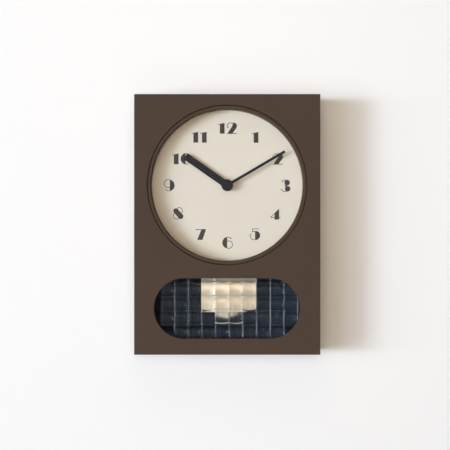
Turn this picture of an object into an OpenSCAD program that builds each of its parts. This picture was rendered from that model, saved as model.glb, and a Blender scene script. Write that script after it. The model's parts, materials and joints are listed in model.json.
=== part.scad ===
// Wall clock with a quartz movement and a short pendulum behind a reeded glass window.
// Everything is drawn lying on its back, x to the right, y up the wall and z out of the wall,
// and hang() then stands it up, so the row frame has Z up and the face looking along -Y.
// The origin is the centre of the round hole in the hanger plate, on the plane of the wall.

/* [Case] */
// Width of the case
case_w = 250; // [240:1:300]
// Height of the case
case_h = 350; // [345:1:400]
// Depth of the case, from the wall to the front face
case_d = 65; // [65:1:80]
// Thickness of the boards
board = 9; // [8:0.5:10]
// Height of the top above the hanger hole
hanger_drop = 25; // [24:1:30]
// Thickness of the back panel
back_t = 2.5; // [2:0.5:2.5]
// Section of the battens that the back panel is screwed to
batten = 10; // [8:1:12]

/* [Dial] */
// Distance of the dial's centre below the top
dial_drop = 122; // [120:1:124]
// Radius of the dial that shows inside the bezel
dial_r = 101.9; // [95:0.1:102]
// Outer radius of the bezel's face
bezel_r = 106.6; // [105:0.1:107]
// Width of the groove between the bezel and the front panel
groove = 0.9; // [0.5:0.1:1.5]
// Distance of the dial behind the front face
dial_recess = 20; // [18:0.5:20]

/* [Window] */
// Width of the window, a slot with round ends
window_w = 196.5; // [160:0.5:200]
// Height of the window
window_h = 81.3; // [70:0.1:82]
// Distance of the window's centre below the top
window_drop = 288; // [286:1:290]
// Pitch of the reeds in the window's glass
reed_pitch = 18.5; // [15:0.5:22]
// Radius of the reeds' round faces
reed_r = 53; // [45:1:70]
// Thickness of the glass between the reeds
glass_core = 2.6; // [2:0.1:3]

/* [Hands] */
// Hour that the clock shows
hour = 10; // [0:1:11]
// Minute that the clock shows
minute = 9.93; // [0:0.01:59.99]
// Length of the hour hand
hour_len = 69; // [50:1:72]
// Width of the hour hand
hour_w = 9.6; // [6:0.1:11]
// Length of the minute hand
minute_len = 90.5; // [75:0.5:92]
// Width of the minute hand
minute_w = 3.5; // [2:0.1:5]
// Diameter of the cap on the hands
cap_d = 16; // [12:1:18]

/* [Numerals] */
// Radius of the ring that the numerals stand on
numeral_ring = 77.8; // [70:0.1:80]
// Width of the numerals' hairlines
hair = 0.85; // [0.5:0.05:1]
// Thickness of the printed ink
ink_t = 0.12; // [0.1:0.02:0.2]

/* [Pendulum] */
// Diameter of the bob
bob_d = 80; // [60:1:84]
// Distance of the bob's centre below the top
bob_drop = 263.8; // [255:0.1:270]
// Height of the bob's dome
bob_dome = 5; // [3:0.5:7]
// Width of the pendulum rod, a flat strip
rod_w = 5; // [4:0.5:8]

/* [Movement] */
// Width of the movement's housing
move_w = 58; // [58:1:62]
// Diameter of the battery
battery_d = 14.2; // [14:0.1:14.4]
// Module of the teeth in the motion work
motion_module = 0.5; // [0.5:0.05:0.5]
// Module of the teeth in the going train
train_module = 0.3; // [0.3:0.05:0.3]
// Module of the teeth between the rotor and the fifth wheel
rotor_module = 0.25; // [0.25:0.05:0.25]

/* [Hidden] */
$fn = 96;

// Each figure of the numerals and its place, as shares of the ring's radius, from 12 clockwise
FIGURES = [
    [1, -0.087, 0.999], [2, 0.081, 0.999], [1, 0.503, 0.839], [2, 0.886, 0.463],
    [3, 1.019, -0.007], [4, 0.848, -0.5], [5, 0.484, -0.852], [6, 0.006, -1],
    [7, -0.461, -0.857], [8, -0.857, -0.488], [9, -1.012, 0.001], [1, -0.891, 0.464],
    [0, -0.728, 0.465], [1, -0.549, 0.842], [1, -0.4, 0.842]
];

// Heights on the wall
top_y = hanger_drop;
bottom_y = hanger_drop - case_h;
dial_y = hanger_drop - dial_drop;
window_y = hanger_drop - window_drop;
bob_y = hanger_drop - bob_drop;

// Keyhole plate, its screws, the room behind it and the hole that gives a hand its way in
hang_radius = 5;
slot_w = 5;
slot_top = 8.5;
plate_size = [44, 24];
plate_up = 2;
hanger_screw_x = 17;
pocket_size = [12, 19.5];
pocket_up = 4;
access_half = 48;

// Depths, measured out of the wall
plate_t = 1.5;
back_z = plate_t;
batten_z = back_z + back_t;
panel_z = case_d - board;
side_x = case_w / 2 - board;
dial_z = case_d - dial_recess;

// Bezel, lens and dial
bezel_z = case_d - 0.4;
lip_z = case_d - 4;
lens_t = 2;
lens_r = dial_r + 2.1;
lens_seat_r = lens_r + 0.4;
tube_r = dial_r + 8.1;
flange_r = tube_r + 7;
flange_z = panel_z - 6;
bezel_screw_r = flange_r - 3.5;
board_gap = 0.5;
dial_t = 1.5;
dial_screw_r = (lens_seat_r + tube_r) / 2;
panel_hole_r = bezel_r + groove;

// Window glass and its clips
pane_w = window_w + 15.5;
pane_h = window_h + 12.7;
reed_sag = reed_r - sqrt(reed_r * reed_r - reed_pitch * reed_pitch / 4);
pane_back = panel_z - glass_core - 2 * reed_sag;
first_reed_x = 2;
first_reed_y = window_y - 1.5;
clip_t = 1;
clip_w = 12;
clip_reach = 9;
clip_screw_out = 5;
clip_y = 30;

// Movement housing
axis_y = dial_y;
wall = 1.5;
house_z0 = 24;
house_z1 = dial_z - dial_t - 1;
house_mid = 33.25;
house_top = axis_y + 30;
house_bottom = axis_y - 76;
bay_top = axis_y - 24;
bay_bottom = axis_y - 40;
bay_wall = 1.2;
battery_y = (bay_top + bay_bottom) / 2;
battery_z = house_z0 + 8.4;
recess_z = 30;
bridge_z = 29;
bridge_t = 1.5;
inner_z = house_z1 - wall;
bushing_r = 4;
bushing_z = dial_z + 4;

// Arbors and running fits
play = 0.05;
arbor_r = 0.5;
post_r = 0.7;
tube_out_r = 2.55;
shaft_r = 1.75;

// Levels of the train, each a start and a thickness
level_a = [38.5, 1.5];
level_b = [35.5, 1.5];
level_c = [33, 1.4];
level_d = [31.2, 1.2];

// Teeth of the wheels and of the pinions that drive or follow them
hour_teeth = 32;
hour_pinion = 8;
minute_teeth = 30;
cannon_teeth = 10;
centre_teeth = 64;
third_teeth = 60;
fourth_teeth = 40;
fifth_teeth = 48;
leaves = 8;
shift = 0.5;

// Distances between axes, and the directions from one axis to the next
motion_gap = motion_module * (minute_teeth + cannon_teeth) / 2;
centre_gap = train_module * (centre_teeth + leaves) / 2;
third_gap = train_module * (third_teeth + leaves) / 2;
fourth_gap = train_module * (fourth_teeth + leaves) / 2;
fifth_gap = rotor_module * (fifth_teeth + leaves) / 2;
to_minute_wheel = 210;
to_setting = 240;
to_third = -20;
to_fourth = 60;
to_fifth = 90;
to_rotor = 170;

function step(from, distance, angle) = from + distance * [cos(angle), sin(angle)];

centre_at = [0, axis_y];
minute_at = step(centre_at, motion_gap, to_minute_wheel);
setting_at = step(minute_at, motion_gap, to_setting);
third_at = step(centre_at, centre_gap, to_third);
fourth_at = step(third_at, third_gap, to_fourth);
fifth_at = step(fourth_at, fourth_gap, to_fifth);
rotor_at = step(fifth_at, fifth_gap, to_rotor);
bridge_post = [22.8, 18];
house_post = [move_w / 2 - 3.7, 3.5];
stator_post = [11, 23];
bridge_posts = [for (sx = [-1, 1], sy = [-1, 1]) [bridge_post[0] * sx, axis_y + bridge_post[1] * sy]];
house_posts = [for (sx = [-1, 1], y = [house_top - house_post[1], house_bottom + house_post[1]])
    [house_post[0] * sx, y]];
stator_posts = [for (sx = [-1, 1]) [stator_post[0] * sx, axis_y + stator_post[1]]];

// Coil and stator of the stepping motor
stator_z = 37.4;
stator_t = 1;
coil_y = axis_y + 21.5;
coil_r = 3.4;

// Pendulum drive
pivot_y = axis_y - 46;
magnet_y = axis_y - 66;
hook_y = axis_y - 82;
pin_r = 1;
lever_z = 25.6;
lever_t = 2.6;
strip_z = 24;
strip_t = 0.8;
bob_z = 25.8;
bob_rim = 1.2;
bob_skin = 0.6;

// Hands
hour_hand_z = dial_z + 5;
minute_hand_z = dial_z + 8;
hand_t = 0.6;
cap_t = 3;
hour_angle = 30 * hour + minute / 2;
minute_angle = 6 * minute;

brown = [0.30, 0.25, 0.21];
board_brown = [0.62, 0.52, 0.40];
ink = [0.18, 0.17, 0.15];
steel = [0.72, 0.73, 0.74];
dark_plastic = [0.10, 0.10, 0.11];
white_plastic = [0.90, 0.90, 0.86];
brass = [0.80, 0.68, 0.42];
copper = [0.72, 0.38, 0.20];

// Stands a piece up that was drawn lying on its back
module hang() {
    rotate([90, 0, 0]) children();
}

module at(place, z = 0) {
    translate([place[0], place[1], z]) children();
}

module block(x0, x1, y0, y1, z0, z1) {
    translate([x0, y0, z0]) cube([x1 - x0, y1 - y0, z1 - z0]);
}

// Slot with round ends, lying along x
module stadium(w, h) {
    square([w - h, h], center = true);
    for (side = [-1, 1])
        translate([side * (w - h) / 2, 0]) circle(h / 2);
}

module rounded(w, h, r) {
    square([w - 2 * r, h], center = true);
    square([w, h - 2 * r], center = true);
    for (sx = [-1, 1], sy = [-1, 1])
        translate([sx * (w / 2 - r), sy * (h / 2 - r)]) circle(r);
}

// Places round a circle about the dial's centre
function on_ring(r, count, start = 0) =
    [for (i = [0 : count - 1]) step(centre_at, r, start + i * 360 / count)];

bezel_screw_places = on_ring(bezel_screw_r, 8, 22.5);
dial_screw_places = on_ring(dial_screw_r, 4, 45);
clip_places = [for (sx = [-1, 1], sy = [-1, 1]) [pane_w / 2 * sx, window_y + clip_y * sy]];
back_screw_places = concat(
    [for (sx = [-1, 1], y = [top_y - 55, axis_y - 55, bottom_y + 60])
        [sx * (side_x - batten / 2), y]],
    [for (sx = [-1, 1]) [sx * 60, top_y - board - 7]],
    [for (sx = [-1, 1]) [sx * 60, bottom_y + board + batten / 2]]
);

// Pan head screw along +z, with its head behind z = 0 and a cross cut in it
module pan_screw(shank_r, length, head_r, head_t) {
    difference() {
        union() {
            cylinder(r = shank_r, h = length);
            translate([0, 0, -head_t]) cylinder(r = head_r, h = head_t);
        }
        for (a = [0, 90])
            rotate([0, 0, a])
                block(-head_r * 0.6, head_r * 0.6, -head_r * 0.12, head_r * 0.12,
                      -head_t - 1, -head_t * 0.4);
    }
}

// CASE

module front_panel() {
    color(brown) hang() difference() {
        block(-case_w / 2, case_w / 2, bottom_y, top_y, panel_z, case_d);
        at(centre_at, panel_z - 1) cylinder(r = panel_hole_r, h = board + 2);
        at([0, window_y], panel_z - 1) linear_extrude(board + 2) stadium(window_w, window_h);
        for (p = bezel_screw_places) at(p, panel_z - 1) cylinder(r = 1.4, h = 8);
        for (p = clip_places) at(clip_screw_place(p), panel_z - 1) cylinder(r = 1.2, h = 7);
    }
}

module side_board(side) {
    color(brown) hang()
        block(min(side * side_x, side * case_w / 2), max(side * side_x, side * case_w / 2),
              bottom_y, top_y, 0, panel_z);
}

module side_left() {
    side_board(-1);
}

module side_right() {
    side_board(1);
}

module top_board() {
    color(brown) hang() block(-side_x, side_x, top_y - board, top_y, 0, panel_z);
}

module bottom_board() {
    color(brown) hang() block(-side_x, side_x, bottom_y, bottom_y + board, 0, panel_z);
}

module back_screw_holes(r, depth) {
    for (p = back_screw_places) at(p, back_z - 1) cylinder(r = r, h = depth + 1);
}

module back_battens() {
    color(board_brown) hang() difference() {
        union() {
            for (side = [-1, 1])
                translate([side * (side_x - batten / 2), 0])
                    block(-batten / 2, batten / 2, bottom_y + board, top_y - board,
                          batten_z, batten_z + batten);
            block(-side_x + batten + 0.2, side_x - batten - 0.2, bottom_y + board,
                  bottom_y + board + batten, batten_z, batten_z + batten);
        }
        back_screw_holes(1.3, 10);
    }
}

// Hole behind the hanger plate for the head of the wall screw
module head_pocket() {
    at([0, pocket_up], -1) linear_extrude(batten_z + 14) rotate([0, 0, 90])
        stadium(pocket_size[1], pocket_size[0]);
}

module hanger_screw_places() {
    for (side = [-1, 1]) at([hanger_screw_x * side, plate_up]) children();
}

module hanger_rail() {
    color(board_brown) hang() difference() {
        block(-side_x + batten + 0.2, side_x - batten - 0.2, -14.5, top_y - board,
              batten_z, batten_z + 12);
        head_pocket();
        hanger_screw_places() translate([0, 0, 1]) cylinder(r = 1.4, h = 12);
        back_screw_holes(1.3, 10);
    }
}

module back_panel() {
    color(board_brown) hang() difference() {
        block(-side_x + 0.3, side_x - 0.3, bottom_y + board + 0.3, top_y - board - 0.3,
              back_z, back_z + back_t);
        block(-access_half, access_half, house_bottom - 24, house_top + 8, 0, 6);
        head_pocket();
        hanger_screw_places() cylinder(r = 1.4, h = 12);
        back_screw_holes(1.3, 10);
    }
}

module back_screws() {
    color(steel) hang() for (p = back_screw_places) at(p, back_z) pan_screw(1.3, 9, 2.7, 1.2);
}

module hanger_plate() {
    color(steel) hang() difference() {
        at([0, plate_up]) linear_extrude(plate_t) rounded(plate_size[0], plate_size[1], 3);
        translate([0, 0, -1]) cylinder(r = hang_radius, h = plate_t + 2);
        block(-slot_w / 2, slot_w / 2, 0, slot_top, -1, plate_t + 1);
        at([0, slot_top], -1) cylinder(r = slot_w / 2, h = plate_t + 2);
        hanger_screw_places() cylinder(r1 = 2.9, r2 = 1.4, h = plate_t);
    }
}

module hanger_screws() {
    color(steel) hang() hanger_screw_places() difference() {
        union() {
            cylinder(r1 = 2.9, r2 = 1.4, h = plate_t);
            cylinder(r = 1.4, h = 12);
        }
        for (a = [0, 90]) rotate([0, 0, a]) block(-1.5, 1.5, -0.3, 0.3, -1, 0.9);
    }
}

// BEZEL, LENS AND DIAL

// Turned ring whose flange lies behind the front panel, cut flat along the sides and the top
module bezel_ring() {
    ease = 0.4;
    bevel = 1.4;
    flat_x = side_x - board_gap;
    color(brown) hang() difference() {
        intersection() {
            at(centre_at) rotate_extrude() polygon([
                [dial_r + bevel, bezel_z], [bezel_r - ease, bezel_z], [bezel_r, bezel_z - ease],
                [bezel_r, panel_z], [flange_r, panel_z], [flange_r, flange_z],
                [tube_r, flange_z], [tube_r, dial_z], [lens_seat_r, dial_z],
                [lens_seat_r, lip_z], [dial_r, lip_z], [dial_r, bezel_z - bevel]
            ]);
            block(-flat_x, flat_x, dial_y - flange_r - 1, top_y - board - board_gap, 0, case_d);
        }
        for (p = bezel_screw_places) at(p, flange_z - 1) cylinder(r = 1.4, h = 8);
        for (p = dial_screw_places) at(p, dial_z - 1) cylinder(r = 1.1, h = 5);
    }
}

module bezel_screws() {
    color(steel) hang()
        for (p = bezel_screw_places) at(p, flange_z) pan_screw(1.4, 13, 2.6, 1.4);
}

module lens_glass() {
    color([0.85, 0.92, 0.95, 0.3]) hang()
        at(centre_at, lip_z - lens_t) cylinder(r = lens_r, h = lens_t);
}

module spacer_ring() {
    color(brown) hang() difference() {
        at(centre_at, dial_z) cylinder(r = lens_r, h = lip_z - lens_t - dial_z);
        at(centre_at, dial_z - 1) cylinder(r = dial_r + 0.3, h = lip_z);
    }
}

module dial_plate() {
    color([0.90, 0.86, 0.79]) hang() difference() {
        at(centre_at, dial_z - dial_t) cylinder(r = tube_r - 0.5, h = dial_t);
        at(centre_at, dial_z - dial_t - 1) cylinder(r = bushing_r + 0.2, h = dial_t + 2);
        for (p = dial_screw_places) at(p, dial_z - dial_t - 1) cylinder(r = 1.1, h = dial_t + 2);
    }
}

module dial_screws() {
    color(steel) hang()
        for (p = dial_screw_places) at(p, dial_z - dial_t) pan_screw(1.1, 5, 2.2, 1.1);
}

// NUMERALS, high contrast figures of hairlines and solid bowls

// Part of a disc to one side of a straight edge at x = 0, w wide
module bowl(r, w, side = 1) {
    intersection() {
        translate([side * (w - r), 0]) circle(r);
        translate([side > 0 ? 0 : -2 * r, -r]) square([2 * r, 2 * r]);
    }
}

// Bowl that keeps its full height up to its straight edge at x = 0
module full_bowl(r, w) {
    translate([w - r, 0]) circle(r);
    translate([0, -r]) square([w - r, 2 * r]);
}

module hairline(a, b) {
    run = b - a;
    translate(a) rotate(atan2(run[1], run[0])) translate([0, -hair / 2])
        square([norm(run), hair]);
}

// Hairline arc about a centre, the part of a ring inside a box
module hair_arc(at_point, r, box_low, box_high) {
    intersection() {
        translate(at_point) difference() {
            circle(r);
            circle(r - hair);
        }
        translate(box_low) square(box_high - box_low);
    }
}

// Small ball that ends a hairline
module hair_ball(at_point) {
    translate(at_point) circle(hair);
}

module digit_zero() {
    translate([0.1, 0]) bowl(7.9, 6.7, -1);
    hair_arc([-0.4, 0], 7.9, [0, -8], [7.6, 8]);
}

module digit_one() {
    polygon([[-3.2, -7.3], [3.2, -7.3], [3.2, 7.3], [-3.2, 5.9]]);
    hairline([-5.6, 5.2], [-3, 5.8]);
}

module digit_two() {
    polygon([[-6.2, -7.6], [0.4, -7.6], [6.1, 0.4], [2.4, 3.2], [1, 3.7]]);
    intersection() {
        translate([2.4, 3]) circle(4.5);
        polygon([[1, 3.5], [6.1, 0.4], [9, 0.4], [9, 9], [1.5, 9]]);
    }
    hair_arc([-2.2, 3.1], 4.5, [-7, 0.9], [-2.1, 8]);
    hair_ball([-5.3, 1.2]);
    hairline([-2.2, 7.6 - hair / 2], [2.4, 7.5 - hair / 2]);
    hairline([-6.2, -7.6 + hair / 2], [6.8, -7.6 + hair / 2]);
}

module digit_three() {
    translate([0.1, 4.4]) full_bowl(3.7, 5.8);
    translate([0.1, -4]) full_bowl(3.75, 6.45);
    translate([0.1, -0.5]) square([2, 1.4]);
    hair_arc([-0.2, 1.8], 6.45, [-5.4, 5.6], [0.3, 8.4]);
    hair_ball([-4.7, 5.8]);
    hair_arc([-0.2, -1.25], 7.05, [-6.6, -8.5], [0.3, -4.7]);
    hair_ball([-5.7, -4.9]);
    hairline([-1.9, 0.2], [0.3, 0.2]);
}

module digit_four() {
    polygon([[-1.65, -7.5], [4.6, -7.5], [4.6, 7.5], [-1.65, 1.25]]);
    hairline([-6.9, -4.5], [-1.5, 1.1]);
    hairline([-7.1, -4.7], [6.8, -4.7]);
}

module digit_five() {
    translate([0.2, -1.7]) bowl(6.1, 6.85);
    hairline([-3.4, 7.2], [5.6, 7.2]);
    hairline([-3, 7.5], [-3.5, 2.9]);
    hair_arc([-0.75, -1.95], 6.2, [-4.1, 2.5], [0.4, 5]);
    hair_arc([-0.75, -1.95], 6.2, [-7.2, -8.4], [0.4, -0.7]);
    hair_ball([-6, -0.6]);
}

module digit_six() {
    translate([-0.6, 0]) bowl(7.9, 6.5, -1);
    hair_arc([1.6, -2.65], 5.5, [-0.8, -8.3], [7.3, 3]);
    hair_arc([0.2, 0], 7.9, [-0.8, 5.5], [4.9, 8]);
    hair_ball([4.4, 5.9]);
}

module digit_seven() {
    polygon([[-4.9, -7.3], [2.2, -7.3], [7, 6.6], [6.6, 7.3], [0.95, 7.3]]);
    hairline([-6.6, 6.7], [1.5, 6.85]);
    hair_ball([-6.2, 6.5]);
}

module digit_eight() {
    hair_arc([1.5, 3.6], 4.6, [-3.2, -1.1], [6.2, 8.3]);
    hair_arc([-1.8, -3.2], 5, [-7, -8.3], [3.3, 1.9]);
    translate([-3.2, 3.4]) circle(3.4);
    translate([3.4, -4]) circle(3.7);
    polygon([[-5.74, 1.14], [-0.66, 5.66], [6.16, -1.54], [0.64, -6.46]]);
}

module digit_nine() {
    translate([0.7, 0]) bowl(7.9, 6.5);
    hair_arc([-1.4, 2.4], 5.85, [-7.4, -3.6], [0.9, 8.4]);
    hair_arc([0.2, 0], 8, [-4.7, -8.2], [0.9, -5.6]);
    hair_ball([-4.3, -6]);
}

module digit(n) {
    if (n == 0) digit_zero();
    if (n == 1) digit_one();
    if (n == 2) digit_two();
    if (n == 3) digit_three();
    if (n == 4) digit_four();
    if (n == 5) digit_five();
    if (n == 6) digit_six();
    if (n == 7) digit_seven();
    if (n == 8) digit_eight();
    if (n == 9) digit_nine();
}

module numerals() {
    color(ink) hang() at(centre_at, dial_z) linear_extrude(ink_t)
        for (f = FIGURES) translate(numeral_ring * [f[1], f[2]]) digit(f[0]);
}

// WINDOW GLASS, upright reeds in front and level reeds behind

module reeds(length, low, high, first) {
    from = ceil((low - first) / reed_pitch) - 1;
    to = floor((high - first) / reed_pitch);
    for (i = [from : to]) {
        x0 = max(low, first + i * reed_pitch);
        x1 = min(high, first + (i + 1) * reed_pitch);
        intersection() {
            translate([first + (i + 0.5) * reed_pitch, 0, -reed_r + reed_sag])
                rotate([-90, 0, 0]) cylinder(r = reed_r, h = length, $fn = 360);
            block(x0, x1, 0, length, -glass_core / 2, reed_sag + 1);
        }
    }
}

module window_glass() {
    low_y = window_y - pane_h / 2;
    color([0.55, 0.62, 0.70, 0.4]) hang() {
        translate([0, low_y, panel_z - reed_sag])
            reeds(pane_h, -pane_w / 2, pane_w / 2, first_reed_x);
        translate([pane_w / 2, 0, pane_back + reed_sag]) rotate([0, 180, 90])
            reeds(pane_w, -window_y - pane_h / 2, -window_y + pane_h / 2, -first_reed_y);
    }
}

// Where the screw of a clip goes, outside the pane
function clip_screw_place(p) = [p[0] + clip_screw_out * sign(p[0]), p[1]];

// Bent strips at the two ends of the pane: a tongue on the glass, a rise and a foot on the panel
module glass_clips() {
    half = clip_w / 2;
    rise = 0.5;
    color(steel) hang() difference() {
        for (p = clip_places) at(p) rotate([0, 0, p[0] < 0 ? 180 : 0]) {
            block(-5, rise + clip_t, -half, half, pane_back - clip_t, pane_back);
            block(rise, rise + clip_t, -half, half, pane_back - clip_t, panel_z);
            block(rise, clip_reach, -half, half, panel_z - clip_t, panel_z);
        }
        for (p = clip_places) at(clip_screw_place(p), pane_back) cylinder(r = 1.2, h = 9);
    }
}

module clip_screws() {
    color(steel) hang()
        for (p = clip_places) at(clip_screw_place(p), panel_z - clip_t) pan_screw(1.2, 7, 2.2, 1.2);
}

// WHEELS

// Angle, in degrees, that an involute opens to at a pressure angle
function opening(a) = tan(a) * 180 / PI - a;

// Half the angle that a tooth fills at a radius, for involute teeth cut with a shifted rack
function half_tooth(r, teeth, m, x) =
    let (pitch_r = m * teeth / 2)
    let (base_r = pitch_r * cos(20))
    let (backlash = 0.14 * m)
    let (thick = m * (PI / 2 + 2 * x * tan(20)) - backlash)
    thick / (2 * pitch_r) * 180 / PI + opening(20)
        - (r > base_r ? opening(acos(base_r / r)) : 0);

function tip_r(teeth, m, x) = m * (teeth / 2 + 0.9 + x);
function root_r(teeth, m, x) = m * (teeth / 2 - 1.2 + x);

// Outline of a wheel, with a tooth centred on the angle turn
module teeth_outline(teeth, m, x, turn) {
    radii = [root_r(teeth, m, x), m * teeth / 2, tip_r(teeth, m, x)];
    pitch = 360 / teeth;
    polygon([
        for (i = [0 : teeth - 1], flank = [-1, 1], k = [0 : 2])
            let (r = radii[flank < 0 ? k : 2 - k])
            let (a = turn + i * pitch + flank * half_tooth(r, teeth, m, x))
            r * [cos(a), sin(a)]
    ]);
}

// A toothed wheel about its own axis, from z0 upwards
module toothed(teeth, m, x, turn, z0, h) {
    translate([0, 0, z0]) linear_extrude(h) teeth_outline(teeth, m, x, turn);
}

module arbor(z0, z1, r = arbor_r) {
    translate([0, 0, z0]) cylinder(r = r, h = z1 - z0, $fn = 48);
}

// A wheel and a pinion on one arbor. Each turn is the direction of a tooth.
module wheel_and_pinion(teeth, m, turn, level, pinion_turn, pinion_level) {
    toothed(teeth, m, -shift, turn, level[0], level[1]);
    toothed(leaves, train_module, shift, pinion_turn, pinion_level[0], pinion_level[1]);
    low = min(level[0], pinion_level[0]);
    high = max(level[0] + level[1], pinion_level[0] + pinion_level[1]);
    translate([0, 0, low]) cylinder(r = 0.7, h = high - low, $fn = 48);
    arbor(bridge_z + 0.2, inner_z + 0.7);
}

// Direction of a tooth so that a space looks back along the line from the last axis
function space_turn(direction, teeth) = direction + 180 + 180 / teeth;

// Arbor with the cannon pinion, a tooth of which points at the minute wheel
module minute_arbor() {
    color(brass) hang() at(centre_at) {
        arbor(bridge_z + 0.2, level_c[0], 0.8);
        arbor(level_c[0], minute_hand_z + hand_t + 1, shaft_r);
        toothed(cannon_teeth, motion_module, shift, to_minute_wheel, level_b[0], 2.6);
    }
}

module centre_wheel() {
    color(white_plastic) hang() at(centre_at) difference() {
        toothed(centre_teeth, train_module, -shift, to_third, level_c[0], level_c[1]);
        arbor(level_c[0] - 1, level_c[0] + 3, shaft_r);
    }
}

// Runs on a post of the front housing, because the rim of the centre wheel passes behind it
module minute_wheel() {
    pinion_level = [level_a[0] - 0.2, 1.9];
    color(white_plastic) hang() at(minute_at) difference() {
        union() {
            toothed(minute_teeth, motion_module, -shift, space_turn(to_minute_wheel, minute_teeth),
                    level_b[0], level_b[1]);
            toothed(hour_pinion, motion_module, shift, to_minute_wheel + 180,
                    pinion_level[0], pinion_level[1]);
            arbor(level_b[0], pinion_level[0] + pinion_level[1], 1.5);
        }
        arbor(level_b[0] - 1, inner_z + 1, post_r + play);
    }
}

module hour_wheel() {
    color(white_plastic) hang() at(centre_at) difference() {
        union() {
            toothed(hour_teeth, motion_module, -shift, space_turn(to_minute_wheel + 180, hour_teeth),
                    level_a[0], level_a[1]);
            arbor(level_a[0], hour_hand_z + hand_t + 0.6, tube_out_r);
        }
        arbor(level_a[0] - 1, hour_hand_z + 5, shaft_r + play);
    }
}

// The teeth of the minute wheel repeat every 12 degrees from its own turn, so the pinion is
// turned until one of its spaces meets the nearest of them
minute_turn = space_turn(to_minute_wheel, minute_teeth);
minute_miss = (to_setting - minute_turn) - 12 * round((to_setting - minute_turn) / 12);
setting_turn = space_turn(to_setting, cannon_teeth) + minute_miss * minute_teeth / cannon_teeth;

module setting_arbor() {
    color(white_plastic) hang() at(setting_at) {
        arbor(20.5, level_b[0] + level_b[1], 1.2);
        arbor(level_b[0], inner_z + 0.7);
        toothed(cannon_teeth, motion_module, shift, setting_turn, level_b[0] - 0.1, 1.7);
    }
}

module setting_knob() {
    color(dark_plastic) hang() at(setting_at) difference() {
        union() {
            translate([0, 0, 19]) cylinder(r = 6.2, h = 4.4);
            for (i = [0 : 17])
                rotate([0, 0, i * 20]) translate([6.2, 0, 19]) cylinder(r = 0.7, h = 4.4, $fn = 24);
        }
        translate([0, 0, 20.5]) cylinder(r = 1.2, h = 5, $fn = 48);
        translate([0, 0, 18]) cylinder(r = 4.4, h = 2);
    }
}

// In the going train a tooth of each wheel points at the next axis, where a space meets it
module third_wheel() {
    color(white_plastic) hang() at(third_at)
        wheel_and_pinion(third_teeth, train_module, to_fourth, level_d,
                         space_turn(to_third, leaves), level_c);
}

module fourth_wheel() {
    color(white_plastic) hang() at(fourth_at)
        wheel_and_pinion(fourth_teeth, train_module, to_fifth, level_b,
                         space_turn(to_fourth, leaves), level_d);
}

module fifth_wheel() {
    color(white_plastic) hang() at(fifth_at)
        wheel_and_pinion(fifth_teeth, rotor_module, to_rotor, level_c,
                         space_turn(to_fifth, leaves), level_b);
}

module rotor() {
    color(dark_plastic) hang() at(rotor_at) {
        toothed(leaves, rotor_module, shift, space_turn(to_rotor, leaves),
                level_c[0] - 0.1, 1.7);
        arbor(level_c[0], 36.3, 0.7);
        translate([0, 0, 36.2]) cylinder(r = 2.9, h = 3.4);
        arbor(bridge_z + 0.2, inner_z + 0.7);
    }
}

// MOVEMENT

module house_outline(grow = 0) {
    translate([0, (house_top + house_bottom) / 2])
        rounded(move_w + 2 * grow, house_top - house_bottom + 2 * grow, 2 + grow);
}

// Holes for the front or back ends of the arbors of the going train
module pivot_holes(z0, z1) {
    for (p = [third_at, fourth_at, fifth_at, rotor_at])
        at(p) arbor(z0, z1, arbor_r + play);
}

module housing_front() {
    color(dark_plastic) hang() difference() {
        union() {
            translate([0, 0, house_mid]) linear_extrude(house_z1 - house_mid) difference() {
                house_outline();
                house_outline(-wall);
            }
            translate([0, 0, inner_z]) linear_extrude(wall) house_outline();
            block(-move_w / 2 + 1, move_w / 2 - 1, bay_top, bay_top + bay_wall, house_mid, inner_z);
            block(-move_w / 2 + 1, move_w / 2 - 1, bay_bottom - bay_wall, bay_bottom,
                  house_mid, inner_z);
            for (p = house_posts) at(p) arbor(house_mid, inner_z + 0.5, 2.4);
            for (p = bridge_posts) at(p) arbor(bridge_z + bridge_t, inner_z + 0.5, 1.6);
            for (p = stator_posts) at(p) arbor(stator_z + stator_t, inner_z + 0.5, 1.6);
            at(centre_at) arbor(inner_z, bushing_z, bushing_r);
            at(minute_at) arbor(level_b[0] - 0.3, inner_z + 0.5, post_r);
        }
        at(centre_at) arbor(inner_z - 1, bushing_z + 1, tube_out_r + play);
        pivot_holes(inner_z - 1, inner_z + 0.9);
        at(setting_at) arbor(inner_z - 1, inner_z + 0.9, arbor_r + play);
        for (p = house_posts) at(p) arbor(house_mid - 1, house_mid + 6, 0.9);
        for (p = bridge_posts) at(p) arbor(bridge_z, bridge_z + 6, 0.7);
        for (p = stator_posts) at(p) arbor(stator_z, inner_z + 0.4, 0.6);
    }
}

module housing_rear() {
    half = move_w / 2;
    bay_half = half - wall - 0.3;
    color(dark_plastic) hang() difference() {
        union() {
            translate([0, 0, house_z0]) linear_extrude(house_mid - house_z0) difference() {
                house_outline();
                house_outline(-wall);
            }
            block(-half + 1, half - 1, bay_bottom - bay_wall, house_top - 1, house_z0, house_z0 + wall);
            block(-half + 1, half - 1, bay_top, bay_top + bay_wall, house_z0, house_mid);
            block(-half + 1, half - 1, bay_bottom - bay_wall, bay_bottom, house_z0, house_mid);
            block(-half + 1, half - 1, house_bottom + 1, bay_bottom, recess_z, recess_z + bay_wall);
            at([0, pivot_y]) arbor(recess_z - 1.5, recess_z + 0.5, 3);
            for (p = house_posts) at(p) arbor(house_z0, house_mid, 2.4);
        }
        block(-bay_half, bay_half, bay_bottom, bay_top, house_z0 - 1, house_z0 + wall + 1);
        block(-half + wall + 5, half - wall - 5, house_bottom - 1, house_bottom + wall + 1,
              house_z0 - 1, recess_z);
        at(setting_at) arbor(house_z0 - 1, house_z0 + wall + 1, 1.2 + play);
        at([0, pivot_y]) arbor(recess_z - 3, recess_z + bay_wall + 1, pin_r);
        for (p = house_posts) at(p) {
            arbor(house_z0 - 1, house_mid + 1, 1);
            arbor(house_z0 - 1, house_z0 + 1.4, 1.9);
        }
    }
}

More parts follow.
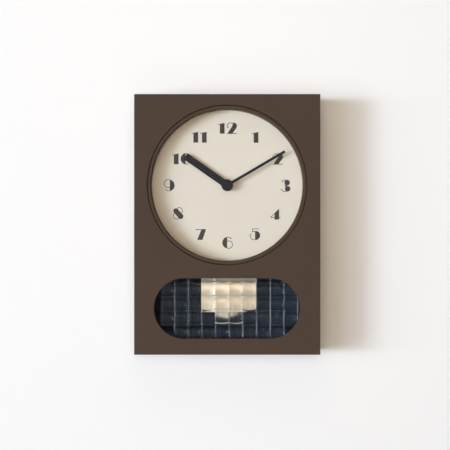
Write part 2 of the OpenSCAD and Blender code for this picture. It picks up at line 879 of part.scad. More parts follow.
module housing_screws() {
    color(steel) hang() for (p = house_posts) at(p, house_z0 + 1.4) pan_screw(0.9, 12, 1.8, 1.1);
}

module dial_gasket() {
    color(dark_plastic) hang() at(centre_at) difference() {
        arbor(house_z1, house_z1 + 1, 12);
        arbor(house_z1 - 1, house_z1 + 2, bushing_r + 0.1);
    }
}

module fixing_washer() {
    color(brass) hang() at(centre_at) difference() {
        arbor(dial_z, dial_z + 0.5, 7.5);
        arbor(dial_z - 1, dial_z + 2, bushing_r + 0.1);
    }
}

module fixing_nut() {
    color(brass) hang() at(centre_at) difference() {
        translate([0, 0, dial_z + 0.5]) cylinder(r = 6.35, h = 2.5, $fn = 6);
        arbor(dial_z, dial_z + 4, bushing_r);
    }
}

module train_bridge() {
    color([0.75, 0.76, 0.72]) hang() difference() {
        block(-26, 26, axis_y - 22, axis_y + 21, bridge_z, bridge_z + bridge_t);
        pivot_holes(bridge_z - 1, bridge_z + bridge_t + 1);
        at(centre_at) arbor(bridge_z - 1, bridge_z + bridge_t + 1, 0.8 + play);
        at(setting_at) arbor(bridge_z - 1, bridge_z + bridge_t + 1, 1.2 + play);
        for (p = bridge_posts) at(p) arbor(bridge_z - 1, bridge_z + bridge_t + 1, 0.7);
    }
}

module bridge_screws() {
    color(steel) hang() for (p = bridge_posts) at(p, bridge_z) pan_screw(0.7, 6, 1.4, 0.7);
}

module stator_plate() {
    color(steel) hang() difference() {
        union() {
            block(-13, 13, axis_y + 9.6, axis_y + 17.4, stator_z, stator_z + stator_t);
            for (side = [-1, 1])
                block(side * 11 - 2, side * 11 + 2, axis_y + 17, axis_y + 25, stator_z,
                      stator_z + stator_t);
        }
        at(rotor_at) arbor(stator_z - 1, stator_z + stator_t + 1, 3.3);
        for (p = stator_posts) at(p) arbor(stator_z - 1, stator_z + stator_t + 1, 0.6);
    }
}

// Bobbin on its iron core, which lies under the two legs of the stator
module coil_bobbin() {
    color(white_plastic) hang() {
        difference() {
            block(-12.8, 12.8, coil_y - 1.5, coil_y + 3, stator_z - 1, stator_z);
            for (p = stator_posts) at(p) arbor(stator_z - 2, stator_z + 1, 0.6);
        }
        for (side = [-1, 1])
            translate([side * 8.3 - 0.4, coil_y, stator_z - 0.5]) rotate([0, 90, 0])
                cylinder(r = coil_r, h = 0.8);
    }
}

module motor_coil() {
    color(copper) hang() difference() {
        translate([-7.9, coil_y, stator_z - 0.5]) rotate([0, 90, 0])
            cylinder(r = coil_r - 0.3, h = 15.8);
        block(-13, 13, coil_y - 1.5, coil_y + 3, stator_z - 1, stator_z);
    }
}

module stator_screws() {
    color(steel) hang() for (p = stator_posts) at(p, stator_z - 1) pan_screw(0.6, 3.6, 1.2, 0.6);
}

module circuit_board() {
    color([0.12, 0.34, 0.20]) hang()
        block(-21, 21, axis_y + 3, axis_y + 25, house_z0 + wall + 0.5, house_z0 + wall + 1.3);
}

module clock_chip() {
    color(dark_plastic) hang()
        block(-12, -6, axis_y + 10, axis_y + 16, house_z0 + wall + 1.3, house_z0 + wall + 2.4);
}

module quartz_crystal() {
    color(steel) hang() translate([2, axis_y + 14, house_z0 + wall + 2.3]) rotate([0, 90, 0])
        cylinder(r = 1, h = 6);
}

module battery() {
    nub = 1.3;
    color([0.25, 0.27, 0.30]) hang() translate([-24.9, battery_y, battery_z]) rotate([0, 90, 0]) {
        cylinder(r = battery_d / 2, h = 49.2);
        cylinder(r = 2.7, h = 49.2 + nub);
    }
}

module contact_plus() {
    color(steel) hang() {
        block(25.6, 26, battery_y - 5, battery_y + 5, house_z0 + wall + 1, inner_z);
        block(25.9, 27.5, battery_y - 5, battery_y + 5, inner_z - 0.4, inner_z);
    }
}

// Leaf that pushes on the battery's flat end
module contact_minus() {
    color(steel) hang() {
        block(-27.5, -27.1, battery_y - 5, battery_y + 5, house_z0 + wall + 1, inner_z);
        for (y = [-1, 1])
            translate([-27.1, battery_y + 3 * y, battery_z]) rotate([0, 90, 0])
                cylinder(r = 1.2, h = 2.2);
    }
}

module drive_coil() {
    color(copper) hang() difference() {
        at([0, magnet_y]) arbor(recess_z + bay_wall, recess_z + bay_wall + 5, 8.2);
        at([0, magnet_y]) arbor(recess_z, recess_z + 8, 3);
    }
}

module lever_pin() {
    color(steel) hang() at([0, pivot_y]) arbor(house_z0 + 0.6, recess_z + bay_wall, pin_r);
}

module pin_clip() {
    color(steel) hang() at([0, pivot_y]) difference() {
        arbor(lever_z - 0.7, lever_z - 0.2, 2.4);
        arbor(lever_z - 2, lever_z + 1, pin_r);
    }
}

// PENDULUM

module pendulum_lever() {
    color(white_plastic) hang() difference() {
        union() {
            at([0, pivot_y]) arbor(lever_z, lever_z + lever_t, 4.5);
            block(-4, 4, hook_y - 2, pivot_y, lever_z, lever_z + lever_t);
            at([0, magnet_y]) arbor(lever_z, lever_z + lever_t, 6.5);
            at([0, hook_y]) arbor(strip_z - 0.9, lever_z + 0.5, 1.4);
            block(-1.4, 1.4, hook_y, hook_y + 2.6, strip_z - 0.9, strip_z - 0.1);
        }
        at([0, pivot_y]) arbor(lever_z - 1, lever_z + lever_t + 1, pin_r + play);
        at([0, magnet_y]) arbor(lever_z + 0.8, lever_z + lever_t + 1, 4);
    }
}

module lever_magnet() {
    color(steel) hang() at([0, magnet_y]) arbor(lever_z + 0.8, lever_z + lever_t, 4);
}

module pendulum_rod() {
    rod_low = bob_y - bob_d / 4;
    color(brass) hang() difference() {
        block(-rod_w / 2, rod_w / 2, rod_low, hook_y + 5.5, strip_z, strip_z + strip_t);
        block(-1.5, 1.5, hook_y - 0.2, hook_y + 3.2, strip_z - 1, strip_z + 2);
        at([0, hook_y]) arbor(strip_z - 1, strip_z + 2, 1.5);
    }
}

// Spherical dome of a given rise over the bob's radius
module dome(r, rise, base_z) {
    ball_r = (r * r + rise * rise) / (2 * rise);
    intersection() {
        translate([0, 0, base_z + rise - ball_r]) sphere(r = ball_r, $fn = 200);
        translate([0, 0, base_z]) cylinder(r = r, h = rise + 1);
    }
}

module bob() {
    r = bob_d / 2;
    color(brass) hang() at([0, bob_y]) difference() {
        union() {
            translate([0, 0, bob_z]) cylinder(r = r, h = bob_rim);
            dome(r, bob_dome, bob_z + bob_rim);
        }
        dome(r - bob_skin, bob_dome, bob_z + bob_rim - bob_skin);
        translate([0, 0, bob_z - 1]) cylinder(r = r - bob_skin, h = bob_rim - bob_skin + 1);
    }
}

module bob_back() {
    color(white_plastic) hang() at([0, bob_y], strip_z + strip_t)
        cylinder(r = bob_d * 0.36, h = 3);
}

// HANDS

module hand_blade(length, w, hub, bore, z, angle) {
    at(centre_at, z) rotate([0, 0, -angle]) difference() {
        linear_extrude(hand_t) {
            circle(hub);
            translate([-w / 2, 0]) square([w, length]);
        }
        translate([0, 0, -1]) cylinder(r = bore, h = hand_t + 2);
    }
}

module hour_hand() {
    color(ink) hang() hand_blade(hour_len, hour_w, cap_d / 2 - 0.6, tube_out_r, hour_hand_z, hour_angle);
}

module minute_hand() {
    color(ink) hang() hand_blade(minute_len, minute_w, cap_d / 2 - 1.6, shaft_r, minute_hand_z,
                                 minute_angle);
}

module hand_cap() {
    color(ink) hang() at(centre_at) difference() {
        arbor(minute_hand_z + hand_t, minute_hand_z + hand_t + cap_t, cap_d / 2);
        arbor(minute_hand_z, minute_hand_z + hand_t + 1, shaft_r);
    }
}

front_panel();
side_left();
side_right();
top_board();
bottom_board();
back_battens();
hanger_rail();
back_panel();
back_screws();
hanger_plate();
hanger_screws();
bezel_ring();
bezel_screws();
lens_glass();
spacer_ring();
dial_plate();
dial_screws();
numerals();
window_glass();
glass_clips();
clip_screws();
housing_front();
housing_rear();
housing_screws();
dial_gasket();
fixing_washer();
fixing_nut();
train_bridge();
bridge_screws();
stator_plate();
coil_bobbin();
motor_coil();
stator_screws();
circuit_board();
clock_chip();
quartz_crystal();
battery();
contact_plus();
contact_minus();
drive_coil();
lever_pin();
pin_clip();
minute_arbor();
centre_wheel();
minute_hand();
hand_cap();
hour_wheel();
hour_hand();
minute_wheel();
setting_arbor();
setting_knob();
third_wheel();
fourth_wheel();
fifth_wheel();
rotor();
pendulum_lever();
lever_magnet();
pendulum_rod();
bob();
bob_back();
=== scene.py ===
"""Finishes, detailed pieces and stage for a wall clock with a pendulum behind reeded glass."""

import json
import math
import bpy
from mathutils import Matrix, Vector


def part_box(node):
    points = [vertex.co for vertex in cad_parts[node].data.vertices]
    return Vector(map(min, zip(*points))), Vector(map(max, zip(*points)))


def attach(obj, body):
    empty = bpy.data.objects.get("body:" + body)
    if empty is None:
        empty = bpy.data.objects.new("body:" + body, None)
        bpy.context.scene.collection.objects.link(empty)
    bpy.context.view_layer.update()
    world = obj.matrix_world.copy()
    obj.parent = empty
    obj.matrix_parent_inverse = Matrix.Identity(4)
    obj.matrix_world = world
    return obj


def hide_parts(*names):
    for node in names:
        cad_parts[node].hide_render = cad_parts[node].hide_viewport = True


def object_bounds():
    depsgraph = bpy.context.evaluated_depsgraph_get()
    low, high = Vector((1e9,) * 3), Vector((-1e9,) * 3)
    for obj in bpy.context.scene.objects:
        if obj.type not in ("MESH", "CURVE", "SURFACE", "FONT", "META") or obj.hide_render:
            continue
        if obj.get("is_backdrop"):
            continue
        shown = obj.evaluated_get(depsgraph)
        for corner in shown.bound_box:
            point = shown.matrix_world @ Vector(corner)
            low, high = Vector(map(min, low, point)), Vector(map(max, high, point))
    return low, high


bl_info = {
    "name": "Pendulum wall clock",
    "version": (1, 0, 0),
    "blender": (4, 5, 0),
    "location": "3D View > Sidebar > Clock",
    "description": "Dresses the packed clock with finishes, glass, screws, hands and a stage",
    "category": "Object",
}

import bmesh
import bpy
from mathutils import Matrix, Vector

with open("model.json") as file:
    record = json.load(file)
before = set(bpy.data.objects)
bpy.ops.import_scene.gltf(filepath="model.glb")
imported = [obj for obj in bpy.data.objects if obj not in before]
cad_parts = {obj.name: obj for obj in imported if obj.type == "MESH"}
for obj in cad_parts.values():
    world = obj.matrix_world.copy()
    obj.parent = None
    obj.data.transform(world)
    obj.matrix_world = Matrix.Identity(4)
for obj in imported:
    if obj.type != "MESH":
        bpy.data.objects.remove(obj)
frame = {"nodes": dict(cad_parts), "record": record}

MM = 0.001
TURN = 2 * math.pi
# Turns a piece that was drawn lying on its back, so that its z points out of the wall
STAND = Matrix.Rotation(math.pi / 2, 4, "X")


def span(node):
    """Lowest and highest corner of a node, lying: x right, y up the wall, z out of the wall."""
    low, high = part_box(node)
    return Vector((low.x, low.z, -high.y)), Vector((high.x, high.z, -low.y))


def middle(node):
    """Middle of a node's box, lying."""
    low, high = span(node)
    return (low + high) / 2


CASE_LOW, CASE_HIGH = (Vector(corner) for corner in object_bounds())
HANDS_AXIS = Vector((0, middle("dial_plate").y))
WINDOW = middle("window_glass")
BOB = middle("bob")
# How far below the middle of the window the level grooves and the level swells start
LEVEL_START = 1.5 * MM
SWELL_START = 5.5 * MM
# Points that are nearer than this are one point, and edges sharper than this stay sharp
WELD = 1e-7
SHARP = 32


def length(name, description, default):
    """A length that a user may change, in metres."""
    return bpy.props.FloatProperty(name=name, description=description, default=default,
                                   min=0.0, soft_max=0.5, precision=5, unit="LENGTH")


def colour(name, description, default):
    """A colour that a user may change."""
    return bpy.props.FloatVectorProperty(name=name, description=description, default=default,
                                         size=3, min=0.0, max=1.0, subtype="COLOR")


class ClockSizes(bpy.types.PropertyGroup):
    """Sizes of the clock's pieces that the frame leaves open."""

    board_ease: length("Board ease", "Radius of the eased edges of the boards", 0.6 * MM)
    metal_ease: length("Metal ease", "Radius of the eased edges of sheet metal", 0.12 * MM)
    window_width: length("Window width", "Width of the slot-shaped window", 196.5 * MM)
    window_height: length("Window height", "Height of the slot-shaped window", 81.3 * MM)
    panel_hole: length("Panel hole", "Radius of the hole for the bezel ring", 107.5 * MM)
    bezel_bevel: length("Bezel bevel", "Width of the bevel inside the bezel's face", 1.4 * MM)
    reed_pitch: length("Reed pitch", "Pitch of the reeds of the window's glass", 18.5 * MM)
    reed_radius: length("Reed radius", "Radius of the round face of a reed", 53 * MM)
    first_reed: length("First reed", "Place of an upright groove right of the middle", 2 * MM)
    groove_width: length("Groove width", "Half width of the groove between two reeds", 0.65 * MM)
    groove_depth: length("Groove depth", "Depth of the groove between two reeds", 0.38 * MM)
    level_radius: length("Level reed radius", "Radius of the round faces behind", 60 * MM)
    level_width: length("Level groove width", "Half width of a level groove", 0.6 * MM)
    level_depth: length("Level groove depth", "Depth of a level groove", 0.38 * MM)
    scallop: length("Scallop", "Dip of the level grooves in the middle of each cell", 1.4 * MM)
    hour_width: length("Hour hand width", "Width of the hour hand", 9.6 * MM)
    minute_width: length("Minute hand width", "Width of the minute hand", 3.5 * MM)
    bob_rise: length("Bob rise", "Rise of the bob's dome", 2 * MM)
    bob_skin: length("Bob skin", "Thickness of the bob's metal", 0.6 * MM)
    slot_width: length("Cross slot width", "Width of a screw's cross recess", 0.5 * MM)


class ClockColours(bpy.types.PropertyGroup):
    """Colours of the clock's finishes."""

    case_paint: colour("Case paint", "Matt brown paint of the case", (0.075, 0.049, 0.0345))
    bezel_paint: colour("Bezel paint", "Matt brown paint of the bezel", (0.076, 0.049, 0.033))
    # The board's blue cast is painted reflection: it stands in for the cool light that the
    # window's glass reflects.
    board: colour("Board", "Stained board at the back", (0.016, 0.018, 0.023))
    dial: colour("Dial", "Cream enamel of the dial", (0.785, 0.73, 0.63))
    ink: colour("Ink", "Printed ink of the numerals", (0.038, 0.034, 0.029))
    hands: colour("Hands", "Matt paint of the hands", (0.008, 0.007, 0.0065))
    steel: colour("Steel", "Zinc plated steel", (0.62, 0.63, 0.62))
    brass: colour("Brass", "Turned brass", (0.78, 0.58, 0.28))
    bob: colour("Bob", "Satin brass of the bob", (0.88, 0.725, 0.495))
    black_plastic: colour("Black plastic", "Moulded black plastic", (0.018, 0.018, 0.020))
    white_plastic: colour("White plastic", "Moulded white plastic", (0.76, 0.76, 0.71))
    rubber: colour("Rubber", "Black rubber", (0.012, 0.012, 0.012))
    wire: colour("Wire", "Enamelled copper wire", (0.60, 0.20, 0.08))
    magnet: colour("Magnet", "Sintered magnet", (0.045, 0.045, 0.050))
    mask: colour("Solder mask", "Green coat of the circuit board", (0.010, 0.085, 0.035))
    jacket: colour("Battery jacket", "Plain jacket of the battery", (0.07, 0.08, 0.10))
    lens: colour("Lens", "Tint of the clear lens", (0.985, 0.99, 0.99))
    # The glass's blue tint is painted reflection: it stands in for the cool light that the glass
    # reflects.
    glass: colour("Glass", "Tint of the reeded glass", (0.81, 0.90, 1.0))
    wall: colour("Wall", "Pale wall and floor", (0.93, 0.93, 0.93))


class Wire:
    """A node's output that can stand in a sum, where each operation is a math node."""

    def __init__(self, graph, socket):
        self.graph = graph
        self.socket = socket

    def __add__(self, other):
        return self.graph.math("ADD", self, other)

    def __sub__(self, other):
        return self.graph.math("SUBTRACT", self, other)

    def __rsub__(self, other):
        return self.graph.math("SUBTRACT", other, self)

    def __mul__(self, other):
        return self.graph.math("MULTIPLY", self, other)

    def __truediv__(self, other):
        return self.graph.math("DIVIDE", self, other)

    def __mod__(self, other):
        return self.graph.math("FLOORED_MODULO", self, other)


class Graph:
    """Adds nodes to a node tree and links them."""

    def __init__(self, tree):
        self.tree = tree

    def feed(self, socket, value):
        """Links a socket to a wire, or to each of a list of wires, or sets its value."""
        if isinstance(value, list):
            for one in value:
                self.feed(socket, one)
        elif isinstance(value, Wire):
            self.tree.links.new(value.socket, socket)
        else:
            socket.default_value = value

    def node(self, kind, inputs=None, **settings):
        """One node, with its settings and with its inputs by name or number."""
        made = self.tree.nodes.new(kind)
        for key, value in settings.items():
            setattr(made, key, value)
        for key, value in (inputs or {}).items():
            self.feed(made.inputs[key], value)
        return made

    def add(self, kind, inputs=None, output=0, **settings):
        """One output of a new node, by name or number."""
        return Wire(self, self.node(kind, inputs, **settings).outputs[output])

    def wires(self, kind, inputs=None, **settings):
        """All outputs of a new node, by name."""
        made = self.node(kind, inputs, **settings)
        return {socket.name: Wire(self, socket) for socket in made.outputs}

    def math(self, operation, *values, clamp=False):
        """One math node, by its operation."""
        return self.add("ShaderNodeMath", dict(enumerate(values)), operation=operation,
                        use_clamp=clamp)

    def vector(self, operation, *values, output=0):
        """One vector math node, by its operation."""
        return self.add("ShaderNodeVectorMath", dict(enumerate(values)), output,
                        operation=operation)

    def axes(self, vector):
        """The X, Y and Z of a vector."""
        return self.wires("ShaderNodeSeparateXYZ", {0: vector})

    def point(self, **axes):
        """A vector from its X, Y and Z, each zero unless given."""
        return self.add("ShaderNodeCombineXYZ", axes)

    def place(self):
        """The place on the object."""
        return self.add("ShaderNodeTexCoord", output="Object")

    def noise(self, scale, **inputs):
        """Noise over the object."""
        return self.add("ShaderNodeTexNoise", {"Vector": self.place(), "Scale": scale, **inputs})

    def ranged(self, value, low, high, from_low=0.3, from_high=0.7):
        """Maps a value, usually a noise, to a range."""
        return self.add("ShaderNodeMapRange", {"Value": value, "From Min": from_low,
                                               "From Max": from_high, "To Min": low,
                                               "To Max": high})

    def bell(self, value):
        """One where a value is zero, falling off smoothly to both sides."""
        return self.math("EXPONENT", value * value * -1.0)

    def pick(self, factor, first, second):
        """The second number where a factor is one."""
        return self.add("ShaderNodeMix", {0: factor, 2: first, 3: second}, data_type="FLOAT")

    def mix(self, factor, first, second):
        """A mix of two colours."""
        return self.add("ShaderNodeMix", {0: factor, 6: first, 7: second}, 2, data_type="RGBA")

    def mix_shader(self, factor, first, second):
        """A mix of two shaders."""
        return self.add("ShaderNodeMixShader", {0: factor, 1: first, 2: second})

    def group(self, name, **values):
        """All outputs of a shared group, placed with its own values."""
        tree = bpy.data.node_groups.get(name) or GROUP_MAKERS[name]()
        inputs = {key.replace("_", " "): value for key, value in values.items()}
        return self.wires("ShaderNodeGroup", inputs, node_tree=tree)

    def arrange(self):
        """Sets the nodes out in a row, in the order they were made."""
        for place, node in enumerate(self.tree.nodes):
            node.location = (200 * place, 0)


def rgba(values, scale=1.0):
    """A colour with its alpha, made lighter or darker by a factor."""
    return (*(min(1.0, scale * v) for v in values), 1.0)


GEOMETRY = "NodeSocketGeometry"
MATERIAL = "NodeSocketMaterial"
ORIGIN = (0.0, 0.0, 0.0)
# Kind of socket for each kind of default value
SOCKETS = {float: "NodeSocketFloat", int: "NodeSocketInt", tuple: "NodeSocketVector"}


class Group(Graph):
    """A node group that is being made, with named inputs, and one output or more."""

    kind = "ShaderNodeTree"
    result = "NodeSocketFloat"

    def __init__(self, name, **inputs):
        super().__init__(bpy.data.node_groups.new(name, self.kind))
        for key, value in inputs.items():
            socket = SOCKETS.get(type(value), value)
            made = self.tree.interface.new_socket(name=key.replace("_", " "), in_out="INPUT",
                                                  socket_type=socket)
            if socket != value:
                made.default_value = value
        self.given = self.wires("NodeGroupInput")

    def close(self, **results):
        """Makes the named outputs, and returns the finished group."""
        for name in results:
            self.tree.interface.new_socket(name=name, in_out="OUTPUT", socket_type=self.result)
        self.node("NodeGroupOutput", results)
        self.arrange()
        return self.tree


def make_grain_group():
    """Fine grain of a paint or a moulding, as a height and as a mask of patches."""
    group = Group("Fine grain", Grain_scale=900.0, Patch_scale=12.0)
    grain = group.noise(group.given["Grain scale"], Detail=3.0, Roughness=0.55)
    patches = group.noise(group.given["Patch scale"], Detail=4.0, Roughness=0.6)
    return group.close(Height=grain, Patches=patches)


def make_wear_group():
    """Mask of the worn edges, from how the rounded normal differs from the true one."""
    group = Group("Edge wear", Radius=1 * MM, Gain=4.0, Chip_scale=300.0)
    rounded = group.add("ShaderNodeBevel", {"Radius": group.given["Radius"]}, samples=4)
    true = group.add("ShaderNodeNewGeometry", output="Normal")
    turned = 1.0 - group.vector("DOT_PRODUCT", rounded, true, output="Value")
    chips = group.noise(group.given["Chip scale"], Detail=2.0)
    return group.close(Mask=group.math("MULTIPLY", turned * group.given["Gain"], chips,
                                       clamp=True))


def make_dust_group():
    """Mask of the dust that lies on faces that look up."""
    group = Group("Dust", Amount=0.15, Scale=60.0)
    up = group.axes(group.add("ShaderNodeNewGeometry", output="Normal"))["Z"]
    specks = group.noise(group.given["Scale"], Detail=8.0, Roughness=0.7)
    laid = group.ranged(up, 0.0, 1.0, 0.6, 1.0) * specks
    return group.close(Mask=group.math("MULTIPLY", laid, group.given["Amount"], clamp=True))


def make_turned_group():
    """Fine rings that a lathe or a spinning tool leaves round an axis out of the wall."""
    group = Group("Turned rings", Centre=ORIGIN, Rings_per_metre=4000.0)
    away = group.vector("SUBTRACT", group.place(), group.given["Centre"])
    flat = group.vector("MULTIPLY", away, (1.0, 0.0, 1.0))
    radius = group.vector("LENGTH", flat, output="Value")
    rings = group.add("ShaderNodeTexNoise", {"W": radius * group.given["Rings per metre"],
                                             "Scale": 1.0, "Detail": 2.0},
                      noise_dimensions="1D")
    return group.close(Height=rings)


def make_brushed_group():
    """Long fine scratches along one direction, as on rolled and brushed sheet."""
    group = Group("Brushed lines", Stretch=(60.0, 3000.0, 3000.0))
    scaled = group.vector("MULTIPLY", group.place(), group.given["Stretch"])
    lines = group.add("ShaderNodeTexNoise", {"Vector": scaled, "Scale": 1.0, "Detail": 4.0,
                                             "Roughness": 0.6})
    return group.close(Height=lines)


def make_relief_group():
    """Lens-like swell of each cell of figured glass: across in front, both ways behind."""
    group = Group("Cell relief", Origin=ORIGIN, Pitch=18.5 * MM, Front_radius=150 * MM,
                  Back_radius=40 * MM, Level_radius=25 * MM)
    given = group.given
    xyz = group.axes(group.vector("SUBTRACT", group.place(), given["Origin"]))
    half = given["Pitch"] * 0.5

    def swell(axis, radius):
        """Drop from the middle of a cell, of a round face with this radius."""
        off = xyz[axis] % given["Pitch"] - half
        return off * off / (given[radius] * 2.0)

    behind = swell("X", "Back radius") + swell("Z", "Level radius")
    is_front = group.math("LESS_THAN", xyz["Y"], 0.0)
    return group.close(Height=group.pick(is_front, behind, swell("X", "Front radius")) * -1.0)


GROUP_MAKERS = {"Fine grain": make_grain_group, "Edge wear": make_wear_group,
                "Dust": make_dust_group, "Turned rings": make_turned_group,
                "Brushed lines": make_brushed_group, "Cell relief": make_relief_group}


def cleared(owner):
    """The emptied node tree of a material or a world."""
    owner.use_nodes = True
    owner.node_tree.nodes.clear()
    return owner.node_tree


class Finish(Graph):
    """A material with one Principled shader, whose constants stand on its own sockets."""

    def __init__(self, name, **constants):
        self.material = bpy.data.materials.new(name)
        super().__init__(cleared(self.material))
        self.output = self.node("ShaderNodeOutputMaterial")
        self.shader = self.node("ShaderNodeBsdfPrincipled")
        self.plain = Wire(self, self.shader.outputs[0])
        self.dress(constants)
        self.feed(self.output.inputs["Surface"], self.plain)

    def dress(self, values):
        """Feeds the shader's sockets by name."""
        for key, value in values.items():
            self.feed(self.shader.inputs[key.replace("_", " ")], value)

    def tones(self, mask, tint, dark, light, from_low=0.3, from_high=0.7):
        """A tint that changes a little with a mask."""
        return self.mix(self.ranged(mask, 0.0, 1.0, from_low, from_high), rgba(tint, dark),
                        rgba(tint, light))

    def close(self, height, distance, **values):
        """Feeds a bump and what else changes over the surface, and returns the material."""
        bump = self.add("ShaderNodeBump", {"Height": height, "Distance": distance,
                                           "Strength": 1.0})
        self.dress({**values, "Normal": bump})
        self.arrange()
        return self.material


DUST = (0.42, 0.40, 0.37, 1.0)
COPPER_BAND = (0.42, 0.19, 0.07, 1.0)
BARE_CAN = (0.6, 0.6, 0.58, 1.0)


def coated(name, tint, grain, patches, tones, rough, depth, rough_by="Patches", wear=None,
           dust=None, **constants):
    """Paint, print, plastic or varnish: patches, grain, and where given rubbed edges and dust."""
    finish = Finish(name, **constants)
    marks = finish.group("Fine grain", Grain_scale=grain, Patch_scale=patches)
    tone = finish.tones(marks["Patches"], tint, *tones)
    if wear:
        radius, gain, chips, share, bright = wear
        worn = finish.group("Edge wear", Radius=radius, Gain=gain, Chip_scale=chips)["Mask"]
        tone = finish.mix(worn * share, tone, rgba(tint, bright))
    if dust:
        amount, specks = dust
        laid = finish.group("Dust", Amount=amount, Scale=specks)["Mask"]
        tone = finish.mix(laid, tone, DUST)
    return finish.close(marks["Height"], depth * MM, Base_Color=tone,
                        Roughness=finish.ranged(marks[rough_by], *rough))


def metal(name, tint, rough, stretch=None, rings=None, depth=0.004, tarnish=0.8, metallic=1.0):
    """Bare metal with brushed lines or turned rings, patches of tarnish and bright edges."""
    finish = Finish(name, Metallic=metallic)
    patches = finish.group("Fine grain", Grain_scale=1800.0, Patch_scale=55.0)["Patches"]
    worn = finish.group("Edge wear", Radius=0.4 * MM, Gain=5.0, Chip_scale=700.0)["Mask"]
    if stretch:
        marks = finish.group("Brushed lines", Stretch=stretch)["Height"]
    else:
        marks = finish.group("Turned rings", Centre=(BOB.x, 0.0, BOB.y),
                             Rings_per_metre=rings)["Height"]
    tone = finish.tones(patches, tint, tarnish, 1.0)
    return finish.close(marks, depth * MM, Base_Color=finish.mix(worn * 0.5, tone,
                                                                 rgba(tint, 1.15)),
                        Roughness=finish.ranged(marks, -0.06, 0.06) + rough)


def fibreboard(name, tint):
    """Dark stained fibreboard, with fibres and a rough face."""
    finish = Finish(name, IOR=1.45, Specular_IOR_Level=0.2)
    grain = finish.group("Fine grain", Grain_scale=1500.0, Patch_scale=40.0)
    fibres = finish.group("Brushed lines", Stretch=(900.0, 900.0, 250.0))["Height"]
    worn = finish.group("Edge wear", Radius=1.2 * MM, Gain=3.0, Chip_scale=200.0)["Mask"]
    tone = finish.tones(fibres, tint, 0.85, 1.3, 0.35, 0.65)
    return finish.close(grain["Height"] + fibres, 0.05 * MM,
                        Base_Color=finish.mix(worn * 0.5, tone, rgba(tint, 3.0)),
                        Roughness=finish.ranged(grain["Patches"], 0.72, 0.88))


def solder_mask(name, tint):
    """Green solder mask over copper tracks that run in square steps."""
    finish = Finish(name, Coat_Weight=0.5, Coat_Roughness=0.15, Roughness=0.45)
    tracks = finish.add("ShaderNodeTexVoronoi", {"Vector": finish.place(), "Scale": 380.0},
                        "Distance", distance="MANHATTAN", feature="F1")
    edges = finish.ranged(tracks, 0.0, 1.0, 0.32, 0.36)
    grain = finish.group("Fine grain", Grain_scale=2500.0, Patch_scale=80.0)["Height"]
    return finish.close(edges + grain * 0.2, 0.02 * MM,
                        Base_Color=finish.mix(edges, rgba(tint, 2.2), rgba(tint)))


def battery_film(name, tint):
    """Plain jacket of the battery: dark film, a copper-coloured band and bare ends."""
    finish = Finish(name, Coat_Weight=0.6, Coat_Roughness=0.2, IOR=1.5)
    low, high = span("battery")
    full, bare, fade = high.x - low.x, 2.6 * MM, 0.2 * MM
    x = finish.axes(finish.place())["X"]
    band_start = low.x + 0.72 * full
    band = finish.ranged(x, 0.0, 1.0, band_start, band_start + fade)
    off = finish.math("ABSOLUTE", x - (low.x + high.x) / 2)
    ends = finish.math("GREATER_THAN", off, full / 2 - bare)
    grain = finish.group("Fine grain", Grain_scale=2500.0, Patch_scale=60.0)
    film = finish.mix(band, rgba(tint), COPPER_BAND)
    return finish.close(grain["Height"], 0.004 * MM, Base_Color=finish.mix(ends, film, BARE_CAN),
                        Metallic=finish.math("MAXIMUM", ends, band),
                        Roughness=finish.ranged(grain["Patches"], 0.28, 0.4))


def glass(name, tint, rough=0.0, grain=60.0, depth=0.0005, **relief):
    """Glass that lets the lamps' light through to what lies behind it."""
    finish = Finish(name, Base_Color=rgba(tint), Metallic=0.0, Transmission_Weight=1.0, IOR=1.5)
    marks = finish.group("Fine grain", Grain_scale=grain, Patch_scale=30.0)
    height = marks["Height"] * (depth * MM)
    if relief:
        cells = finish.group("Cell relief", **relief)["Height"]
        inside = finish.add("ShaderNodeNewGeometry", output="Backfacing")
        height = height + cells * (1.0 - inside * 2.0)
    clear = finish.add("ShaderNodeBsdfTransparent", {"Color": rgba(tint)})
    rays = finish.wires("ShaderNodeLightPath")
    lit = finish.mix_shader(rays["Is Shadow Ray"], finish.plain, clear)
    shown = finish.mix_shader(rays["Is Diffuse Ray"], lit, clear)
    finish.feed(finish.output.inputs["Surface"], shown)
    return finish.close(height, 1.0, Roughness=finish.ranged(marks["Patches"], rough,
                                                             rough + 0.02))


def figured_glass(name, tint):
    """Rolled figured glass, a little uneven."""
    sizes = bpy.context.scene.clock_sizes
    origin = (sizes.first_reed, -WINDOW.z, WINDOW.y - SWELL_START)
    return glass(name, tint, 0.16, 90.0, 0.02, Origin=origin, Pitch=sizes.reed_pitch)


# What the paints and the mouldings have in common
PAINT = {"patches": 14.0, "tones": (0.97, 1.03), "depth": 0.02, "IOR": 1.45}
PAINT_WEAR = (0.9 * MM, 3.0, 260.0, 0.35, 1.5)
PAINT_DUST = (0.25, 140.0)
MOULDED = {"patches": 35.0, "tones": (0.93, 1.05), "rough_by": "Height", "IOR": 1.46,
           "wear": (0.5 * MM, 4.0, 500.0, 0.4, 1.8)}
MOULDED_DUST = (0.15, 200.0)

